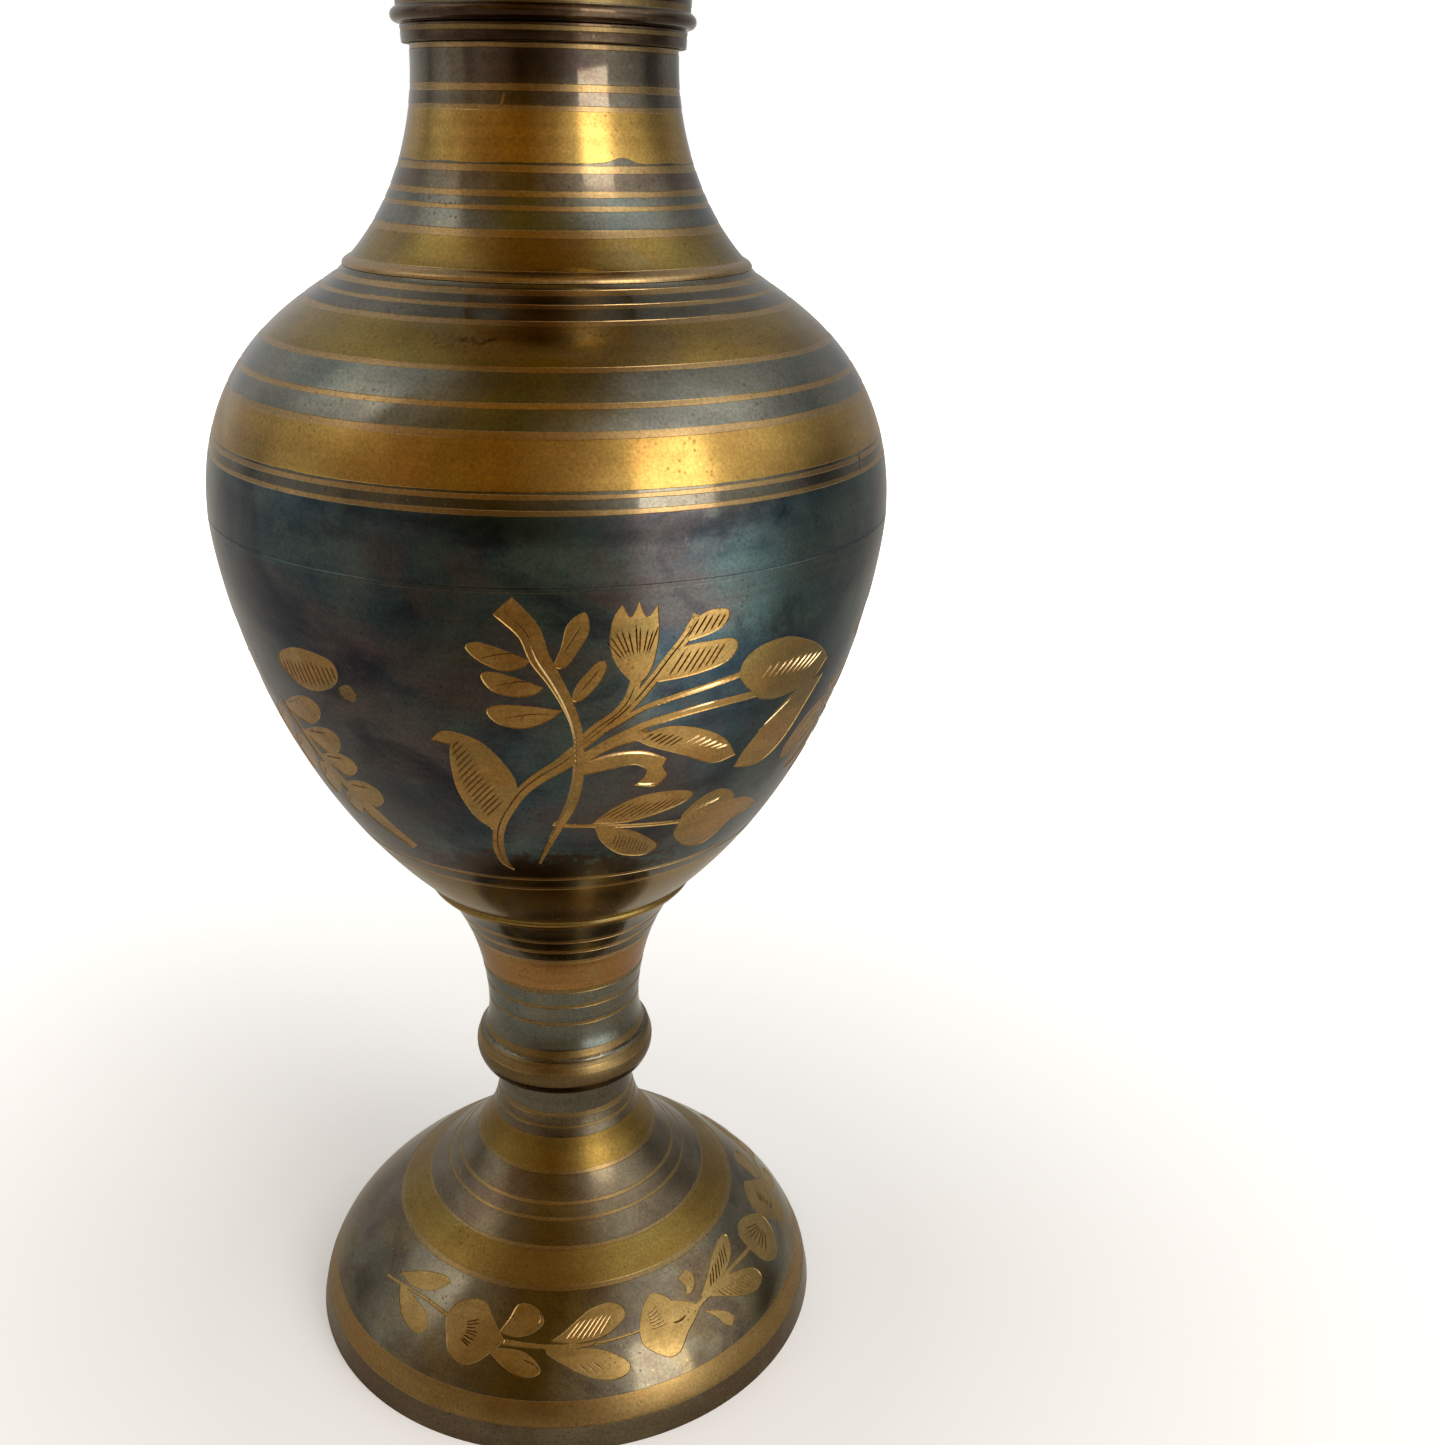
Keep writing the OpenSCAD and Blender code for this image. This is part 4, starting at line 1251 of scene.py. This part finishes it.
# The room's glow at five heights, from the floor up: the height as an angle, and stops round the
# vase of angle, brightness and how warm the glow is.
ROOM = [
    (6, [(-180, 0.50, 0), (-150, 0.54, 0), (-135, 0.56, 0), (-121, 0.42, 0), (-113, 0.25, 0),
         (-104, 0.48, 0), (-92, 0.68, 0), (-84, 0.5, 0.1), (-76, 0.58, 0.2), (-68, 0.25, 0.3),
         (-55, 0.44, 0.3), (-32, 0.20, 0.6), (-22, 0.065, 0.8), (0, 0.14, 0.7), (14, 0.28, 0.3),
         (22, 0.5, 0), (30, 0.8, 0), (44, 0.8, 0), (56, 0.75, 0), (74, 0.5, 0), (86, 0.38, 0),
         (96, 0.14, 0), (107, 0.16, 0), (123, 0.40, 0), (150, 0.36, 0)]),
    (22, [(-180, 0.48, 0), (-150, 0.52, 0), (-130, 0.63, 0), (-113, 0.53, 0), (-104, 0.74, 0),
          (-88, 0.62, 0.1), (-72, 0.53, 0.5), (-62, 0.46, 0.6), (-50, 0.42, 0.8), (-30, 0.34, 1),
          (-15, 0.27, 1), (7, 0.48, 0.5), (22, 1.1, 0.1), (32, 1.8, 0), (57, 1.6, 0),
          (70, 1.25, 0), (84, 0.92, 0), (97, 0.58, 0), (110, 0.35, 0), (150, 0.42, 0)]),
    (43, [(-180, 0.5, 0), (-115, 0.72, 0), (-108, 1.1, 0), (-80, 1.7, 0.15), (-73, 0.55, 0.4),
          (-52, 0.37, 0.7), (-37, 0.30, 0.9), (-15, 0.28, 1), (7, 0.48, 0.5), (22, 0.85, 0.2),
          (37, 1.6, 0), (55, 1.9, 0), (66, 1.6, 0), (82, 1.5, 0), (97, 1.1, 0), (112, 0.68, 0),
          (150, 0.43, 0)]),
    (58, [(-180, 0.3, 0), (-127, 0.37, 0), (-97, 0.58, 0), (-82, 0.66, 0.1), (-67, 0.5, 0.5),
          (-37, 0.36, 1), (-15, 0.31, 1), (7, 0.42, 0.9), (30, 0.5, 0.6), (60, 0.92, 0),
          (82, 0.95, 0), (97, 0.75, 0), (120, 0.5, 0), (150, 0.28, 0)]),
    (74, [(-180, 0.30, 0.3), (-140, 0.30, 0.3), (-90, 0.20, 0.7), (-37, 0.23, 1), (0, 0.26, 1),
          (37, 0.27, 0.9), (80, 0.32, 0.5), (150, 0.14, 0.5)]),
]
GLOW = 2.0                  # brightness at the top of a colour ramp

# What the vase mirrors of the floor: its colour by azimuth, lighter below the window as a
# painted pool of light, and a painted glow that makes that stretch brighter still.
TABLE = [(-180, (0.80, 0.79, 0.76)), (-126, (0.78, 0.78, 0.76)), (-100, (0.68, 0.70, 0.72)),
         (-60, (0.64, 0.59, 0.52)), (-38, (0.47, 0.40, 0.29)), (0, (0.50, 0.44, 0.32)),
         (20, (0.82, 0.76, 0.64)), (34, (0.95, 0.93, 0.86)), (58, (0.92, 0.90, 0.86)),
         (70, (0.66, 0.65, 0.62)), (88, (0.50, 0.50, 0.48)), (114, (0.46, 0.47, 0.47)),
         (150, (0.64, 0.64, 0.61)), (180, (0.80, 0.79, 0.76))]
WINDOW_POOL_GLOW = [(-180, 0.0), (20, 0.0), (32, 1.4), (52, 1.25), (68, 0.5), (82, 0.0)]
CLOSE_FLOOR = (0.84, 0.81, 0.74)    # the floor's own colour close to the foot
FLOOR_SIZE = 16.0                   # metres
FOOT_OPENING = 0.0412               # radius in metres, just inside the foot's rim

# The window, a soft light: its angle round the vase, its height, distance, width and tallness in
# metres, how far it leans to its side, its power in watts and its colour.
WINDOW = {"angle": 41.5, "height": 1.6, "distance": 3.0, "width": 1.4, "tall": 2.3, "lean": -6,
          "power": 27, "colour": (1.0, 0.94, 0.86)}


def make_floor():
    """Pale, and white to the camera by its own glow, which is turned down close to the vase:
    painted shade over the soft cast shadow there. The vase mirrors a painted pool of light and glow
    below the window. It is open under the foot and when it is seen from below, so that the
    underside of the vase shows."""
    bpy.ops.mesh.primitive_plane_add(size=FLOOR_SIZE, location=(0, 0, cad_low.z))
    floor = bpy.context.object
    floor.name = "floor"
    n = Nodes.material("pale_floor")
    seen = n.add("ShaderNodeLightPath").outputs["Is Camera Ray"]
    away = n.vector("LENGTH", n.place)
    # The floor's colour as the vase mirrors it, with a painted pool of light below the window.
    pale = n.mix(n.spread(away, 0.07, 0.2), CLOSE_FLOOR, n.around(TABLE))
    # A painted glow below the window, which only the vase mirrors.
    pool_glow = n.around([(angle, (0.9 * tone, tone, 1.05 * tone)) for angle, tone in WINDOW_POOL_GLOW])
    pool_glow = n.mix(n.spread(away, 0.09, 0.22), (0.0, 0.0, 0.0), pool_glow)
    # The glow that makes the floor white to the camera, weaker close to the vase: painted shade.
    glow = n.math("MULTIPLY", n.spread(away, 0.06, 0.3, 0.3, 0.95), seen)
    n.fill(n.shader, Roughness=1.0, Specular_IOR_Level=0.0,
           Base_Color=n.mix(seen, pale, (0.86, 0.86, 0.86)),
           Emission_Color=n.mix(seen, pool_glow, (1.0, 1.0, 1.0)),
           Emission_Strength=n.math("MAXIMUM", glow, n.math("SUBTRACT", 1.0, seen)))
    below = n.add("ShaderNodeNewGeometry").outputs["Backfacing"]
    is_open = n.math("MAXIMUM", below, n.math("LESS_THAN", away, FOOT_OPENING))
    surface = n.mix_shaders(is_open, n.shader, n.add("ShaderNodeBsdfTransparent"))
    n.fill(n.tree.nodes["Material Output"], Surface=surface)
    floor.data.materials.append(n.owner)


def make_world():
    """A room: dark and warm in front, pale behind, and plain white to the camera itself."""
    world = bpy.data.worlds.new("room")
    bpy.context.scene.world = world
    n = Nodes(world)
    for node in list(n.tree.nodes):
        if node.bl_idname in ("ShaderNodeBackground", "ShaderNodeOutputWorld"):
            n.tree.nodes.remove(node)
    height = n.math("ARCSINE", n.add("ShaderNodeSeparateXYZ", Vector=n.place).outputs["Z"])
    colour, below = None, None
    for level, stops in ROOM:
        ring = n.around([(angle, tuple(bright / GLOW * (1 + warmth * (w - 1)) for w in WARM))
                         for angle, bright, warmth in stops + [(180, *stops[0][1:])]])
        if colour:
            low, high = math.radians(below), math.radians(level)
            ring = n.mix(n.spread(height, low, high), colour, ring)
        colour, below = ring, level
    room = n.add("ShaderNodeBackground", Color=colour, Strength=GLOW)
    white = n.add("ShaderNodeBackground", Color=(1, 1, 1, 1))
    seen = n.add("ShaderNodeLightPath").outputs["Is Camera Ray"]
    n.add("ShaderNodeOutputWorld", Surface=n.mix_shaders(seen, room, white))


def make_panel(name, angle, height, distance, width, tall, lean, power, colour):
    """A soft light that stands at an angle round the vase and faces its axis."""
    data = bpy.data.lights.new(name, "AREA")
    data.shape, data.size, data.size_y = "RECTANGLE", width, tall
    data.energy, data.color = power, colour
    lamp = bpy.data.objects.new(name, data)
    w = math.radians(angle)
    lamp.location = (distance * math.sin(w), -distance * math.cos(w), height)
    aim = Vector((0, 0, height)) - lamp.location
    facing = aim.to_track_quat("-Z", "Y").to_matrix()
    lamp.rotation_euler = (facing @ Matrix.Rotation(math.radians(lean), 3, "Z")).to_euler()
    bpy.context.scene.collection.objects.link(lamp)


def light_scene():
    make_world()
    make_panel("window", **WINDOW)
    bpy.context.scene.view_settings.view_transform = "Standard"


make_camera()
materials = make_materials()
make_castings(materials)
dress_small_parts(materials)
make_floor()
light_scene()
